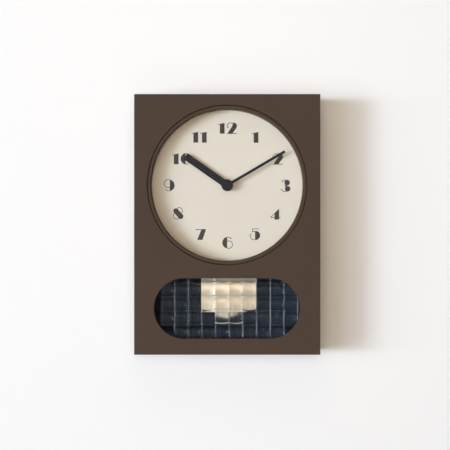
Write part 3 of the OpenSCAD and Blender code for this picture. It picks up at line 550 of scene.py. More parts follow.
# For each of the record's slots: how it is made, its colour, and its own values
FINISHES = {
    # Matt brown paint of the box and of the turned ring, and black-brown paint of the hands
    "case_paint": (coated, "case_paint", {**PAINT, "grain": 900.0, "rough": (0.5, 0.6),
                                          "wear": PAINT_WEAR, "dust": PAINT_DUST,
                                          "Specular_IOR_Level": 0.25}),
    "bezel_paint": (coated, "bezel_paint", {**PAINT, "grain": 1100.0, "rough": (0.45, 0.55),
                                            "wear": PAINT_WEAR, "dust": PAINT_DUST,
                                            "Specular_IOR_Level": 0.25}),
    "hand_paint": (coated, "hands", {**PAINT, "grain": 2200.0, "rough": (0.55, 0.65),
                                     "wear": (*PAINT_WEAR[:4], 2.5),
                                     "Specular_IOR_Level": 0.15}),
    # The board's blue cast is painted reflection of cool light in the window's glass.
    "dark_board": (fibreboard, "board", {}),
    # Smooth enamel with a faint mottle, and screen printed ink that is a little uneven
    "dial_enamel": (coated, "dial", {"grain": 2200.0, "patches": 22.0, "tones": (0.985, 1.01),
                                     "rough": (0.5, 0.6), "depth": 0.006, "IOR": 1.45}),
    "numeral_ink": (coated, "ink", {"grain": 3000.0, "patches": 90.0, "tones": (0.9, 1.15),
                                    "rough": (0.6, 0.75), "depth": 0.008, "IOR": 1.4}),
    # Flat polished lens, and rolled pane
    "clear_glass": (glass, "lens", {}),
    # The pane's blue tint is painted reflection of the cool light that the glass reflects.
    "reeded_glass": (figured_glass, "glass", {}),
    # Plated sheet and screws, brass of the small parts, and the bob, spun to a satin face
    "zinc_steel": (metal, "steel", {"rough": 0.38, "stretch": (200.0, 3500.0, 3500.0)}),
    "brass_metal": (metal, "brass", {"rough": 0.32, "stretch": (3500.0, 3500.0, 120.0)}),
    "bob_brass": (metal, "bob", {"rough": 0.4, "rings": 5000.0, "depth": 0.003,
                                 "tarnish": 0.94, "metallic": 0.8}),
    # Housing and knob, wheels and lever, gasket, and sintered magnets
    "black_plastic": (coated, "black_plastic", {**MOULDED, "grain": 1400.0, "depth": 0.05,
                                                "rough": (0.44, 0.56), "dust": MOULDED_DUST}),
    "white_plastic": (coated, "white_plastic", {**MOULDED, "grain": 1400.0, "depth": 0.01,
                                                "rough": (0.32, 0.44)}),
    "black_rubber": (coated, "rubber", {**MOULDED, "grain": 2600.0, "depth": 0.03,
                                        "rough": (0.69, 0.81), "dust": MOULDED_DUST}),
    "ferrite": (coated, "magnet", {**MOULDED, "grain": 4000.0, "depth": 0.03,
                                   "rough": (0.54, 0.66)}),
    # Copper wire, glossy under its varnish
    "enamelled_wire": (coated, "wire", {"grain": 2500.0, "patches": 300.0, "tones": (0.8, 1.1),
                                        "rough": (0.25, 0.4), "depth": 0.004, "Metallic": 0.85,
                                        "Coat_Weight": 0.6, "Coat_Roughness": 0.12}),
    "green_board": (solder_mask, "mask", {}),
    "battery_jacket": (battery_film, "jacket", {}),
}


def finish_of(slot):
    """The material of a slot, made when it is first asked for."""
    scene = bpy.context.scene
    names = dict(scene.get("clock_finishes", {}))
    if slot not in names:
        maker, tint, values = FINISHES[slot]
        names[slot] = maker(slot, getattr(scene.clock_colours, tint), **values).name
        scene["clock_finishes"] = names
    return bpy.data.materials[names[slot]]


NODE_SLOT = {part["node"]: part["material_slot"] for part in frame["record"]["subparts"]}
NODE_BODY = {node: body for body, nodes in frame["record"]["behaviour"]["bodies"].items()
             for node in nodes}


def piece_from(name, mesh, node):
    """A finished piece that stands for a node, rides with it and has its slot's finish."""
    obj = bpy.data.objects.new(name, mesh)
    bpy.context.collection.objects.link(obj)
    mesh.materials.clear()
    mesh.materials.append(finish_of(NODE_SLOT[node]))
    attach(obj, NODE_BODY[node])
    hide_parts(node)


def evaluated_mesh(source):
    """The mesh of a scratch object with its modifiers worked in; the scratch object goes."""
    bpy.context.collection.objects.link(source)
    graph = bpy.context.evaluated_depsgraph_get()
    mesh = bpy.data.meshes.new_from_object(source.evaluated_get(graph))
    data = source.data
    bpy.data.objects.remove(source)
    kept_in = bpy.data.meshes if isinstance(data, bpy.types.Mesh) else bpy.data.curves
    kept_in.remove(data)
    return mesh


def smoothed(mesh, angle):
    """Smooths a mesh, but for the edges that are sharper than an angle."""
    mesh.shade_smooth()
    mesh.set_sharp_from_angle(angle=math.radians(angle))
    return mesh


def tidy_mesh(work, place=Matrix()):
    """Merges doubles, turns the faces outwards and smooths all but the sharp edges."""
    bmesh.ops.remove_doubles(work, verts=work.verts, dist=WELD)
    bmesh.ops.dissolve_degenerate(work, edges=work.edges, dist=WELD / 10)
    bmesh.ops.recalc_face_normals(work, faces=work.faces)
    work.transform(place)
    mesh = bpy.data.meshes.new("tidied")
    work.to_mesh(mesh)
    work.free()
    source = bpy.data.objects.new("weighting", smoothed(mesh, SHARP))
    source.modifiers.new("weights", "WEIGHTED_NORMAL").keep_sharp = True
    return evaluated_mesh(source)


def joined(meshes, place=Matrix()):
    """One tidied mesh from one or more, which go."""
    work = bmesh.new()
    for mesh in meshes:
        work.from_mesh(mesh)
        bpy.data.meshes.remove(mesh)
    return tidy_mesh(work, place)


def arc(centre, radius, start, end, steps):
    """Points along an arc, both ends included, with angles in degrees."""
    angles = [math.radians(start + (end - start) * i / steps) for i in range(steps + 1)]
    return [(centre[0] + radius * math.cos(a), centre[1] + radius * math.sin(a))
            for a in angles]


def circle(centre, radius, steps):
    """Points round a circle, the first not repeated."""
    return arc(centre, radius, 0, 360, steps)[:-1]


def rectangle(low, high):
    """Corners of a rectangle."""
    return [(low[0], low[1]), (high[0], low[1]), (high[0], high[1]), (low[0], high[1])]


def rounded_rectangle(low, high, radius):
    """Outline of a rectangle with round corners."""
    left, right = low[0] + radius, high[0] - radius
    foot, top = low[1] + radius, high[1] - radius
    corners = (((right, foot), -90), ((right, top), 0), ((left, top), 90), ((left, foot), 180))
    return [p for centre, start in corners for p in arc(centre, radius, start, start + 90, 6)]


def stadium(centre, width, height, steps):
    """Outline of a slot with round ends, lying along x."""
    reach = (width - height) / 2
    right = arc((centre[0] + reach, centre[1]), height / 2, -90, 90, steps)
    left = arc((centre[0] - reach, centre[1]), height / 2, 90, 270, steps)
    return right + left


def plate(outlines, low, high, ease, place=STAND):
    """A flat plate between two heights. Inner outlines are holes, and all edges are eased."""
    curve = bpy.data.curves.new("outline", "CURVE")
    curve.dimensions = "2D"
    curve.fill_mode = "BOTH"
    curve.extrude = (high - low) / 2 - ease
    curve.bevel_depth = ease
    curve.bevel_resolution = 3
    curve.offset = -ease
    for points in outlines:
        spline = curve.splines.new("POLY")
        spline.points.add(len(points) - 1)
        for made, (x, y) in zip(spline.points, points):
            made.co = (x, y, 0, 1)
        spline.use_cyclic_u = True
    mesh = evaluated_mesh(bpy.data.objects.new("outline", curve))
    return joined([mesh], place @ Matrix.Translation((0, 0, (low + high) / 2)))


def fillet(points, radius, closed=True):
    """Rounds the corners of a profile, each as far as its two sides allow."""
    made = []
    count, steps = len(points), 4
    flat = math.radians(175)
    for i, corner in enumerate(points):
        here = Vector(corner)
        before, after = Vector(points[i - 1]) - here, Vector(points[(i + 1) % count]) - here
        at_end = not closed and i in (0, count - 1)
        if at_end or before.angle(after) > flat:
            made.append(corner)
            continue
        reach = min(before.length, after.length) * 0.45
        cut = min(radius / math.tan(before.angle(after) / 2), reach)
        first, last = here + before.normalized() * cut, here + after.normalized() * cut
        for k in range(steps + 1):
            t = k / steps
            made.append(tuple(first.lerp(here, t).lerp(here.lerp(last, t), t)))
    return made


def lathe(profile, centre, segments, closed=False, place=STAND):
    """A solid turned about an axis out of the wall, from points of radius and height."""
    work = bmesh.new()
    angles = [TURN * k / segments for k in range(segments)]
    rings = []
    for radius, height in profile:
        if radius < WELD:
            rings.append([work.verts.new((0, 0, height))] * segments)
        else:
            rings.append([work.verts.new((radius * math.cos(a), radius * math.sin(a), height))
                          for a in angles])
    above = rings[1:] + rings[:1] if closed else rings[1:]
    for low, high in zip(rings, above):
        for k in range(segments):
            corners = [low[k], low[(k + 1) % segments], high[(k + 1) % segments], high[k]]
            face = list(dict.fromkeys(corners))
            if len(face) > 2:
                work.faces.new(face)
    return tidy_mesh(work, place @ Matrix.Translation((centre[0], centre[1], 0)))


def islands(node):
    """Lowest and highest corner, lying, of each separate solid in a node."""
    work = bmesh.new()
    work.from_mesh(frame["nodes"][node].data)
    bmesh.ops.remove_doubles(work, verts=work.verts, dist=10 * WELD)
    found, seen = [], set()
    for start in work.verts:
        if start in seen:
            continue
        stack, island = [start], []
        seen.add(start)
        while stack:
            here = stack.pop()
            island.append((here.co.x, here.co.z, -here.co.y))
            near = {edge.other_vert(here) for edge in here.link_edges} - seen
            seen |= near
            stack.extend(near)
        axes = list(zip(*island))
        found.append((Vector([min(axis) for axis in axes]), Vector([max(axis) for axis in axes])))
    work.free()
    return sorted(found, key=lambda pair: tuple(round(c, 6) for c in pair[0]))


class Tree(Group):
    """A geometry node tree that is being made, with its finish as the last input."""

    kind = "GeometryNodeTree"
    result = GEOMETRY

    def __init__(self, name, **inputs):
        super().__init__(name, **inputs, Finish=MATERIAL)
        self.position = self.add("GeometryNodeInputPosition")
        self.xyz = self.axes(self.position)

    def dressed(self, geometry):
        """Geometry with its instances made real, in its finish."""
        real = self.add("GeometryNodeRealizeInstances", {0: geometry})
        return self.add("GeometryNodeSetMaterial", {"Geometry": real,
                                                    "Material": self.given["Finish"]})

    def moved(self, geometry, offset, rotation=ORIGIN):
        """Geometry that is turned and moved."""
        return self.add("GeometryNodeTransform", {"Geometry": geometry, "Translation": offset,
                                                  "Rotation": rotation})

    def placed(self, geometry, **places):
        """Geometry with its vertices put elsewhere, by Position or by Offset."""
        return self.add("GeometryNodeSetPosition", {"Geometry": geometry, **places})

    def slimmed(self, geometry, share):
        """Geometry drawn in towards its z axis."""
        scale = self.point(X=share, Y=share, Z=1.0)
        return self.placed(geometry, Position=self.vector("MULTIPLY", self.position, scale))


def make_screw_tree():
    """Screws with a domed or flat head, a cross recess and a thread, one at each vertex."""
    tree = Tree("Cross head screws", Places=GEOMETRY, Shank_radius=1.3 * MM, Length=9 * MM,
                Head_radius=2.7 * MM, Head_height=1.2 * MM, Dome=1.0, Cone=0.0,
                Slot_width=0.5 * MM, Seed=1)
    given, xyz, height = tree.given, tree.xyz, tree.given["Head height"]

    # Shank with a helical thread that fades out at its tip
    tube = tree.add("GeometryNodeMeshCylinder",
                    {"Vertices": 24, "Side Segments": 72, "Radius": given["Shank radius"],
                     "Depth": given["Length"]}, "Mesh", fill_type="NGON")
    turn = tree.math("ARCTAN2", xyz["Y"], xyz["X"]) / TURN
    pitch = given["Shank radius"] * 0.62
    thread = 1.0 - tree.math("PINGPONG", xyz["Z"] / pitch + turn, 0.5) * 0.5
    tip = tree.ranged(xyz["Z"] / given["Length"], 1.0, 0.25, 0.28, 0.5)
    shank = tree.moved(tree.slimmed(tube, thread * tip), tree.point(Z=given["Length"] * 0.499))

    # Head, domed away from the shank by a share of its height
    disc = tree.add("GeometryNodeMeshCylinder",
                    {"Vertices": 48, "Side Segments": 4, "Fill Segments": 6,
                     "Radius": given["Head radius"], "Depth": height}, "Mesh",
                    fill_type="TRIANGLE_FAN")
    away = tree.math("SQRT", xyz["X"] * xyz["X"] + xyz["Y"] * xyz["Y"]) / given["Head radius"]
    level = 0.5 - xyz["Z"] / height
    drop = tree.math("POWER", away, 2.4) * given["Dome"] * level * (height * 0.8)
    draw_in = (level - 1.0) * given["Cone"]
    shift = tree.point(X=xyz["X"] * draw_in, Y=xyz["Y"] * draw_in, Z=drop)
    head = tree.moved(tree.placed(disc, Offset=shift), tree.point(Z=height * -0.5))

    # Cross recess, two bars cut into the head
    size = tree.point(X=given["Head radius"] * 1.15, Y=given["Slot width"], Z=height)
    bar = tree.add("GeometryNodeMeshCube", {"Size": size}, "Mesh")
    sunk = tree.point(Z=height * -0.95)
    bars = [tree.moved(bar, sunk, (0.0, 0.0, angle)) for angle in (0.0, TURN / 4)]
    cut = tree.add("GeometryNodeMeshBoolean", {"Mesh 1": head, "Mesh 2": bars},
                   operation="DIFFERENCE", solver="EXACT")
    screw = tree.add("GeometryNodeJoinGeometry", {0: [cut, shank]})
    spin = tree.add("FunctionNodeRandomValue", {"Seed": given["Seed"], 2: 0.0, 3: TURN}, 1,
                    data_type="FLOAT")
    placed = tree.add("GeometryNodeInstanceOnPoints",
                      {"Points": given["Places"], "Instance": screw,
                       "Rotation": tree.point(Z=spin)})
    return tree.close(Screws=tree.dressed(placed))


def make_reed_tree():
    """Pane with upright reeds in front and level reeds behind, parted by fine grooves."""
    tree = Tree("Reeded pane", Source=GEOMETRY, Pitch=18.5 * MM, Reed_radius=53 * MM,
                Level_radius=60 * MM, Core=2.6 * MM, Groove_width=0.6 * MM,
                Groove_depth=0.2 * MM, Level_width=0.9 * MM, Level_depth=0.25 * MM,
                Scallop=1.4 * MM, Reeds_across=12, Reeds_up=7, Steps=16, First=ORIGIN,
                Low=ORIGIN, High=ORIGIN)
    given, xyz, steps = tree.given, tree.xyz, tree.given["Steps"]
    first, low, high = (tree.axes(given[name]) for name in ("First", "Low", "High"))
    half = given["Pitch"] * 0.5

    # A block in units of one reed, with its vertices gathered at the grooves
    gather = 0.84
    size = tree.point(X=given["Reeds across"], Y=given["Reeds up"], Z=1.0)
    block = tree.add("GeometryNodeMeshCube",
                     {"Size": size, "Vertices X": given["Reeds across"] * steps + 1.0,
                      "Vertices Y": given["Reeds up"] * steps + 1.0, "Vertices Z": 2}, "Mesh")

    def drawn(axis, reeds):
        """Place along an axis in metres, held inside the pane."""
        units = xyz[axis] + given[reeds] * 0.5
        sway = tree.math("SINE", units * TURN) * (gather / TURN)
        place = (units - sway) * given["Pitch"] + first[axis]
        return tree.math("MINIMUM", tree.math("MAXIMUM", place, low[axis]), high[axis])

    def reed(place, start, radius, width, depth):
        """Height of a round reed above its edges, less the groove at each edge."""
        off = (place - start) % given["Pitch"] - half
        square = given[radius] * given[radius]
        rise = tree.math("SQRT", square - off * off) - tree.math("SQRT", square - half * half)
        near = (half - tree.math("ABSOLUTE", off)) / given[width]
        return rise - tree.bell(near) * given[depth], off

    x, y = drawn("X", "Reeds across"), drawn("Y", "Reeds up")
    front, off_x = reed(x, first["X"], "Reed radius", "Groove width", "Groove depth")
    back, _ = reed(y, first["Y"], "Level radius", "Level width", "Level depth")
    cell = off_x / half
    dipped = tree.math("MAXIMUM", y - (1.0 - cell * cell) * given["Scallop"], low["Y"])
    half_core = given["Core"] * 0.5
    is_front = tree.math("GREATER_THAN", xyz["Z"], 0.0)
    place = tree.point(X=x, Y=tree.pick(is_front, dipped, y),
                       Z=tree.pick(is_front, (half_core + back) * -1.0, half_core + front))
    merged = tree.add("GeometryNodeMergeByDistance",
                      {"Geometry": tree.placed(block, Position=place), "Distance": 0.002 * MM})
    return tree.close(Pane=tree.dressed(merged))


def make_rib_tree():
    """A turned knob with round-ended ribs set at even steps round its rim."""
    tree = Tree("Ribbed rim", Knob=GEOMETRY, Ribs=18, Rim_radius=6.2 * MM, Rib_radius=0.7 * MM,
                Low=0.0, High=4.4 * MM)
    given = tree.given
    ring = tree.add("GeometryNodeMeshCircle", {"Vertices": given["Ribs"],
                                               "Radius": given["Rim radius"]})
    height = given["High"] - given["Low"]
    rib = tree.add("GeometryNodeMeshCylinder",
                   {"Vertices": 20, "Side Segments": 8, "Fill Segments": 3,
                    "Radius": given["Rib radius"], "Depth": height}, "Mesh")
    share = tree.math("ABSOLUTE", tree.xyz["Z"]) / height
    eased = tree.slimmed(rib, tree.ranged(share, 1.0, 0.72, 0.36, 0.5))
    ribs = tree.add("GeometryNodeInstanceOnPoints", {"Points": ring, "Instance": eased})
    raised = tree.moved(ribs, tree.point(Z=(given["High"] + given["Low"]) * 0.5))
    whole = tree.add("GeometryNodeJoinGeometry", {0: [raised, given["Knob"]]})
    return tree.close(Ribbed=tree.dressed(whole))


def make_winding_tree():
    """Turns of wire on a coil: one at each point, whose x is the turn's radius."""
    tree = Tree("Wire winding", Turns=GEOMETRY, Wire_radius=0.2 * MM, Steps=72)
    given, xyz = tree.given, tree.xyz
    turn = tree.add("GeometryNodeCurvePrimitiveCircle", {"Resolution": given["Steps"],
                                                         "Radius": 1.0}, "Curve")
    size = tree.point(X=xyz["X"], Y=xyz["X"], Z=1.0)
    keep = tree.add("GeometryNodeStoreNamedAttribute",
                    {"Geometry": given["Turns"], "Name": "turn_size", "Value": size},
                    data_type="FLOAT_VECTOR")
    wide = tree.add("GeometryNodeInputNamedAttribute", {"Name": "turn_size"},
                    data_type="FLOAT_VECTOR")
    centred = tree.placed(keep, Position=tree.point(Z=xyz["Z"]))
    turns = tree.add("GeometryNodeInstanceOnPoints", {"Points": centred, "Instance": turn,
                                                      "Scale": wide})
    real = tree.add("GeometryNodeRealizeInstances", {0: turns})
    section = tree.add("GeometryNodeCurvePrimitiveCircle",
                       {"Resolution": 8, "Radius": given["Wire radius"]}, "Curve")
    wire = tree.add("GeometryNodeCurveToMesh", {"Curve": real, "Profile Curve": section})
    return tree.close(Winding=tree.dressed(wire))


TREE_MAKERS = {"Cross head screws": make_screw_tree, "Reeded pane": make_reed_tree,
               "Ribbed rim": make_rib_tree, "Wire winding": make_winding_tree}


def grown(name, source, inputs, place, angle=180):
    """The mesh that a geometry node tree makes of a scratch object, with named inputs set."""
    tree = bpy.data.node_groups.get(name) or TREE_MAKERS[name]()
    modifier = source.modifiers.new("maker", "NODES")
    modifier.node_group = tree
    sockets = {item.name: item.identifier for item in tree.interface.items_tree
               if item.item_type == "SOCKET" and item.in_out == "INPUT"}
    for key, value in inputs.items():
        modifier[sockets[key]] = value
    mesh = evaluated_mesh(source)
    mesh.transform(place)
    return smoothed(mesh, angle)


def points_object(places):
    """A scratch object whose mesh is only vertices."""
    mesh = bpy.data.meshes.new("places")
    mesh.from_pydata(places, [], [])
    return bpy.data.objects.new("places", mesh)


class CLOCK_OT_case(bpy.types.Operator):
    """Make the front panel and the four boards of the case"""

    bl_idname = "clock.case"
    bl_label = "Case"

    def execute(self, context):
        sizes = context.scene.clock_sizes
        holes = [circle(HANDS_AXIS, sizes.panel_hole, 256),
                 stadium(WINDOW, sizes.window_width, sizes.window_height, 96)]
        for name in ("front_panel", "side_left", "side_right", "top_board", "bottom_board"):
            low, high = span(name)
            mesh = plate([rectangle(low, high), *holes], low.z, high.z, sizes.board_ease)
            piece_from(name + "_board", mesh, name)
            holes = []
        return {"FINISHED"}


class CLOCK_OT_bezel(bpy.types.Operator):
    """Turn the bezel ring, with its flange cut flat where the boards are"""

    bl_idname = "clock.bezel"
    bl_label = "Bezel"

    def execute(self, context):
        sizes = context.scene.clock_sizes
        gap, lip, play, wall, flange = (share * MM for share in (0.9, 2.1, 0.4, 8.1, 6))
        low, high = span("bezel_ring")
        lens_low, lens_high = span("lens_glass")
        back = span("front_panel")[0].z
        lens = (lens_high.x - lens_low.x) / 2
        opening, seat = lens - lip, lens + play
        face, tube, reach = sizes.panel_hole - gap, opening + wall, HANDS_AXIS.y - low.y
        bevel = sizes.bezel_bevel
        profile = [(opening + bevel, high.z), (face, high.z), (face, back), (reach, back),
                   (reach, back - flange), (tube, back - flange), (tube, low.z), (seat, low.z),
                   (seat, lens_high.z), (opening, lens_high.z), (opening, high.z - bevel)]
        mesh = lathe(fillet(profile, 0.3 * MM), HANDS_AXIS, 256, closed=True)
        for vertex in mesh.vertices:
            vertex.co.x = max(low.x, min(high.x, vertex.co.x))
            vertex.co.z = min(high.y, vertex.co.z)
        piece_from("bezel_ring_turned", mesh, "bezel_ring")
        return {"FINISHED"}


class CLOCK_OT_hands(bpy.types.Operator):
    """Cut the two hands from sheet and turn the cap that holds them"""

    bl_idname = "clock.hands"
    bl_label = "Hands"

    def execute(self, context):
        sizes = context.scene.clock_sizes
        self.blade("hour_hand", sizes.hour_width, sizes.metal_ease)
        self.blade("minute_hand", sizes.minute_width, sizes.metal_ease)
        low, high = span("hand_cap")
        radius, bore = (high.x - low.x) / 2, 1.75 * MM
        floor = low.z + 0.4 * MM
        outer = [(bore, low.z), (radius, low.z), (radius, high.z), (0, high.z)]
        inner = [(0, floor), (bore, floor), (bore, low.z)]
        mesh = lathe(fillet(outer, 0.5 * MM, closed=False) + inner, HANDS_AXIS, 96)
        piece_from("hand_cap_turned", mesh, "hand_cap")
        return {"FINISHED"}

    def blade(self, name, width, ease):
        """A square-ended blade with a round hub, as long and as turned as the node."""
        low, high = span(name)
        corners = frame["nodes"][name].data.vertices
        away = [Vector((v.co.x, v.co.z)) - HANDS_AXIS for v in corners]
        far = max(p.length for p in away)
        reach = math.sqrt(far ** 2 - width ** 2 / 4)
        ends = [p for p in away if p.length > far - 0.01 * MM]
        tip = sum(ends, Vector((0, 0))) / len(ends)
        heading = math.atan2(tip.y, tip.x)
        hub = max(p.length for p in away if p.dot(tip) < 0)
        bore = min(p.length for p in away)
        meet = math.degrees(math.asin(width / 2 / hub))
        outline = arc((0, 0), hub, meet, 360 - meet, 48)
        outline += [(reach, -width / 2), (reach, width / 2)]
        place = STAND @ Matrix.Translation((*HANDS_AXIS, 0)) @ Matrix.Rotation(heading, 4, "Z")
        mesh = plate([outline, circle((0, 0), bore, 48)], low.z, high.z, ease, place)
        piece_from(name + "_blade", mesh, name)


class CLOCK_OT_window(bpy.types.Operator):
    """Grow the pane of glass with crossed reeds"""

    bl_idname = "clock.window"
    bl_label = "Window glass"

    def execute(self, context):
        sizes = context.scene.clock_sizes
        low, high = span("window_glass")
        pitch, radius = sizes.reed_pitch, sizes.reed_radius
        sags = [r - math.sqrt(r ** 2 - pitch ** 2 / 4) for r in (radius, sizes.level_radius)]
        level = WINDOW.y - LEVEL_START
        start_x = sizes.first_reed - pitch * math.ceil((sizes.first_reed - low.x) / pitch)
        start_y = level - pitch * math.ceil((level - low.y) / pitch)
        inputs = {"Pitch": pitch, "Reed radius": radius, "Core": high.z - low.z - sum(sags),
                  "Groove width": sizes.groove_width, "Groove depth": sizes.groove_depth,
                  "Level radius": sizes.level_radius, "Level width": sizes.level_width,
                  "Level depth": sizes.level_depth, "Scallop": sizes.scallop,
                  "Reeds across": math.ceil((high.x - start_x) / pitch),
                  "Reeds up": math.ceil((high.y - start_y) / pitch), "Steps": 16,
                  "First": (start_x, start_y, 0.0), "Low": tuple(low), "High": tuple(high),
                  "Finish": finish_of("reeded_glass")}
        lift = Matrix.Translation((0, 0, (low.z + high.z + sags[1] - sags[0]) / 2))
        mesh = grown("Reeded pane", points_object([(0, 0, 0)]), inputs, STAND @ lift, 50)
        piece_from("reeded_pane", mesh, "window_glass")
        return {"FINISHED"}


class CLOCK_OT_screws(bpy.types.Operator):
    """Grow every screw: cross head, dome or countersink, and thread"""

    bl_idname = "clock.screws"
    bl_label = "Screws"

    # Shank radius and height of the head, in millimetres, of each kind of pan head screw
    kinds = {"back_screws": (1.3, 1.2), "bezel_screws": (1.4, 1.4), "dial_screws": (1.1, 1.1),
             "clip_screws": (1.2, 1.2), "housing_screws": (0.9, 1.1),
             "bridge_screws": (0.7, 0.7), "stator_screws": (0.6, 0.6)}

    def execute(self, context):
        slot = context.scene.clock_sizes.slot_width
        for seed, (node, (shank, height)) in enumerate(self.kinds.items()):
            low, high = islands(node)[0]
            head = (high.x - low.x) / 2
            self.make(node, low.z + height * MM, high.z, shank * MM, head, height * MM, seed,
                      min(slot, head * 0.25), dome=0.8)
        # The hanger's screws have flat heads that lie flush in its plate
        plate_low, plate_high = span("hanger_plate")
        low, high = islands("hanger_screws")[0]
        depth, shank, head = plate_high.z - plate_low.z, 1.4 * MM, (high.x - low.x) / 2
        self.make("hanger_screws", depth, high.z, shank, head, depth, 11, 0.6 * MM,
                  cone=1 - shank / head)
        return {"FINISHED"}

    def make(self, node, start, end, shank, head, height, seed, slot, dome=0.0, cone=0.0):
        """One group of like screws, whose heads end and shanks start at the same height."""
        places = [(*((a + b) / 2).xy, start) for a, b in islands(node)]
        inputs = {"Shank radius": shank, "Length": end - start, "Head radius": head,
                  "Head height": height, "Dome": dome, "Cone": cone, "Slot width": slot,
                  "Seed": seed, "Finish": finish_of("zinc_steel")}
        mesh = grown("Cross head screws", points_object(places), inputs, STAND, 35)
        piece_from(node + "_threaded", mesh, node)


class CLOCK_OT_back(bpy.types.Operator):
    """Cut the back panel and the keyhole plate that the clock hangs on"""

    bl_idname = "clock.back"
    bl_label = "Back"

    def execute(self, context):
        low, high = span("back_panel")
        house_low, house_high = span("housing_rear")
        half, below, above = 48 * MM, 24 * MM, 8 * MM
        access = rectangle((-half, house_low.y - below), (half, house_high.y + above))
        pocket_y, pocket_height, pocket_width = 4 * MM, 19.5 * MM, 12 * MM
        pocket = [(-y, x) for x, y in stadium((pocket_y, 0), pocket_height, pocket_width, 24)]
        bores = [circle((a + b) / 2, radius * MM, 24)
                 for node, radius in (("back_screws", 1.3), ("hanger_screws", 1.4))
                 for a, b in islands(node)]
        outlines = [rectangle(low, high), fillet(access, 3 * MM), pocket, *bores]
        piece_from("back_panel_board", plate(outlines, low.z, high.z, 0.3 * MM), "back_panel")
        self.keyhole_plate(context.scene.clock_sizes.metal_ease)
        return {"FINISHED"}

    def keyhole_plate(self, ease):
        """Steel plate with a keyhole: a round hole for the wall screw's head and a slot above."""
        low, high = span("hanger_plate")
        round_hole, slot, slot_top = 5 * MM, 2.5 * MM, 8.5 * MM
        meet = math.degrees(math.acos(slot / round_hole))
        keyhole = arc((0, 0), round_hole, 180 - meet, 360 + meet, 48)
        keyhole += arc((0, slot_top), slot, 0, 180, 24)
        sinks = [circle((a + b) / 2, (b.x - a.x) / 2, 32) for a, b in islands("hanger_screws")]
        outlines = [rounded_rectangle(low, high, 3 * MM), keyhole, *sinks]
        piece_from("keyhole_plate", plate(outlines, low.z, high.z, ease), "hanger_plate")


class CLOCK_OT_clips(bpy.types.Operator):
    """Bend the clips that hold the pane of glass"""

    bl_idname = "clock.clips"
    bl_label = "Glass clips"

    def execute(self, context):
        pane_low, pane_high = span("window_glass")
        sheet, grip, inside, outside, foot = (share * MM for share in (1, 5, 0.5, 1.5, 9))
        # The step is drawn in a level plane, so it is stood up once more than the other plates
        upright = STAND @ STAND
        made = []
        for low, high in islands("glass_clips"):
            side = 1 if low.x > 0 else -1
            edge = pane_high.x if side > 0 else -pane_low.x
            step = [(edge - grip, low.z), (edge + outside, low.z),
                    (edge + outside, high.z - sheet), (edge + foot, high.z - sheet),
                    (edge + foot, high.z), (edge + inside, high.z),
                    (edge + inside, low.z + sheet), (edge - grip, low.z + sheet)]
            outline = [(side * x, z) for x, z in fillet(step, 0.45 * MM)]
            made.append(plate([outline], -high.y, -low.y, 0.12 * MM, upright))
        piece_from("bent_clips", joined(made), "glass_clips")
        return {"FINISHED"}


class CLOCK_OT_movement(bpy.types.Operator):
    """Make the battery, the ribbed setting knob and the wound coils"""

    bl_idname = "clock.movement"
    bl_label = "Movement"

    def execute(self, context):
        self.cell()
        self.knob()
        low, high = span("drive_coil")
        wire, bore = 0.17 * MM, 3 * MM
        self.coil("drive_coil", (high.x - low.x) / 2 - wire, bore + wire, low.z, high.z, wire,
                  Matrix.Translation((*middle("drive_coil").xy, 0)))
        low, high = span("motor_coil")
        wire = 0.2 * MM
        outer = (high.y - low.y) / 2 - wire
        across = Matrix.Translation((0, *middle("motor_coil").yz))
        self.coil("motor_coil", outer, outer - 4 * wire, low.x, high.x, wire,
                  across @ Matrix.Rotation(math.pi / 2, 4, "Y"))
        return {"FINISHED"}

    def cell(self):
        """AA cell: crimped can, with a recessed foot and a round plus cap."""
        low, high = span("battery")
        radius, full = (high.y - low.y) / 2 / MM, (high.x - low.x) / MM
        can = full - 1.3
        # Radius and height in millimetres
        profile = [(0, 0.25), (4.6, 0.25), (5, 0), (5.9, 0), (6.2, 0.5), (6.8, 0.6),
                   (radius, 1.1), (radius, can - 0.9), (6.7, can - 0.4), (6.2, can), (5.6, can),
                   (5.2, can - 0.5), (3.2, can - 0.5), (2.7, can - 0.3), (2.7, full - 0.3),
                   (2.3, full), (0, full)]
        axis = Matrix.Translation((low.x, *middle("battery").yz))
        mesh = lathe([(r * MM, z * MM) for r, z in profile], (0, 0), 96,
                     place=STAND @ axis @ Matrix.Rotation(math.pi / 2, 4, "Y"))
        piece_from("battery_cell", mesh, "battery")

    def knob(self):
        """Knob with a dished face, a bore for its arbor and ribs round the rim."""
        low, high = span("setting_knob")
        rib, shaft, dish = 0.7 * MM, 1.2 * MM, 4.4 * MM
        rim = (high.x - low.x) / 2 - rib
        dish_floor, bore_floor = low.z + 1 * MM, low.z + 1.5 * MM
        profile = [(0, dish_floor), (dish, dish_floor), (dish, low.z), (rim, low.z),
                   (rim, high.z), (shaft, high.z), (shaft, bore_floor), (0, bore_floor)]
        body = lathe(fillet(profile, 0.35 * MM, closed=False), (0, 0), 96, place=Matrix())
        inputs = {"Ribs": 18, "Rim radius": rim, "Rib radius": rib, "Low": low.z,
                  "High": high.z, "Finish": finish_of("black_plastic")}
        place = STAND @ Matrix.Translation((*middle("setting_knob").xy, 0))
        mesh = grown("Ribbed rim", bpy.data.objects.new("knob", body), inputs, place, 35)
        piece_from("ribbed_knob", mesh, "setting_knob")

    def coil(self, node, outer, inner, low, high, wire, place):
        """Turns that show: the outer layer, both ends and the bore."""
        low, high = low + wire, high - wire
        rows = math.ceil((high - low) / (1.9 * wire)) + 1
        layers = math.ceil((outer - inner) / (1.9 * wire)) + 1
        turns = [(inner + (outer - inner) * i / (layers - 1), 0,
                  low + (high - low) * j / (rows - 1))
                 for i in range(layers) for j in range(rows)
                 if i in (0, layers - 1) or j in (0, rows - 1)]
        inputs = {"Wire radius": wire, "Steps": 64, "Finish": finish_of("enamelled_wire")}
        mesh = grown("Wire winding", points_object(turns), inputs, STAND @ place)
        piece_from(node + "_wound", mesh, node)


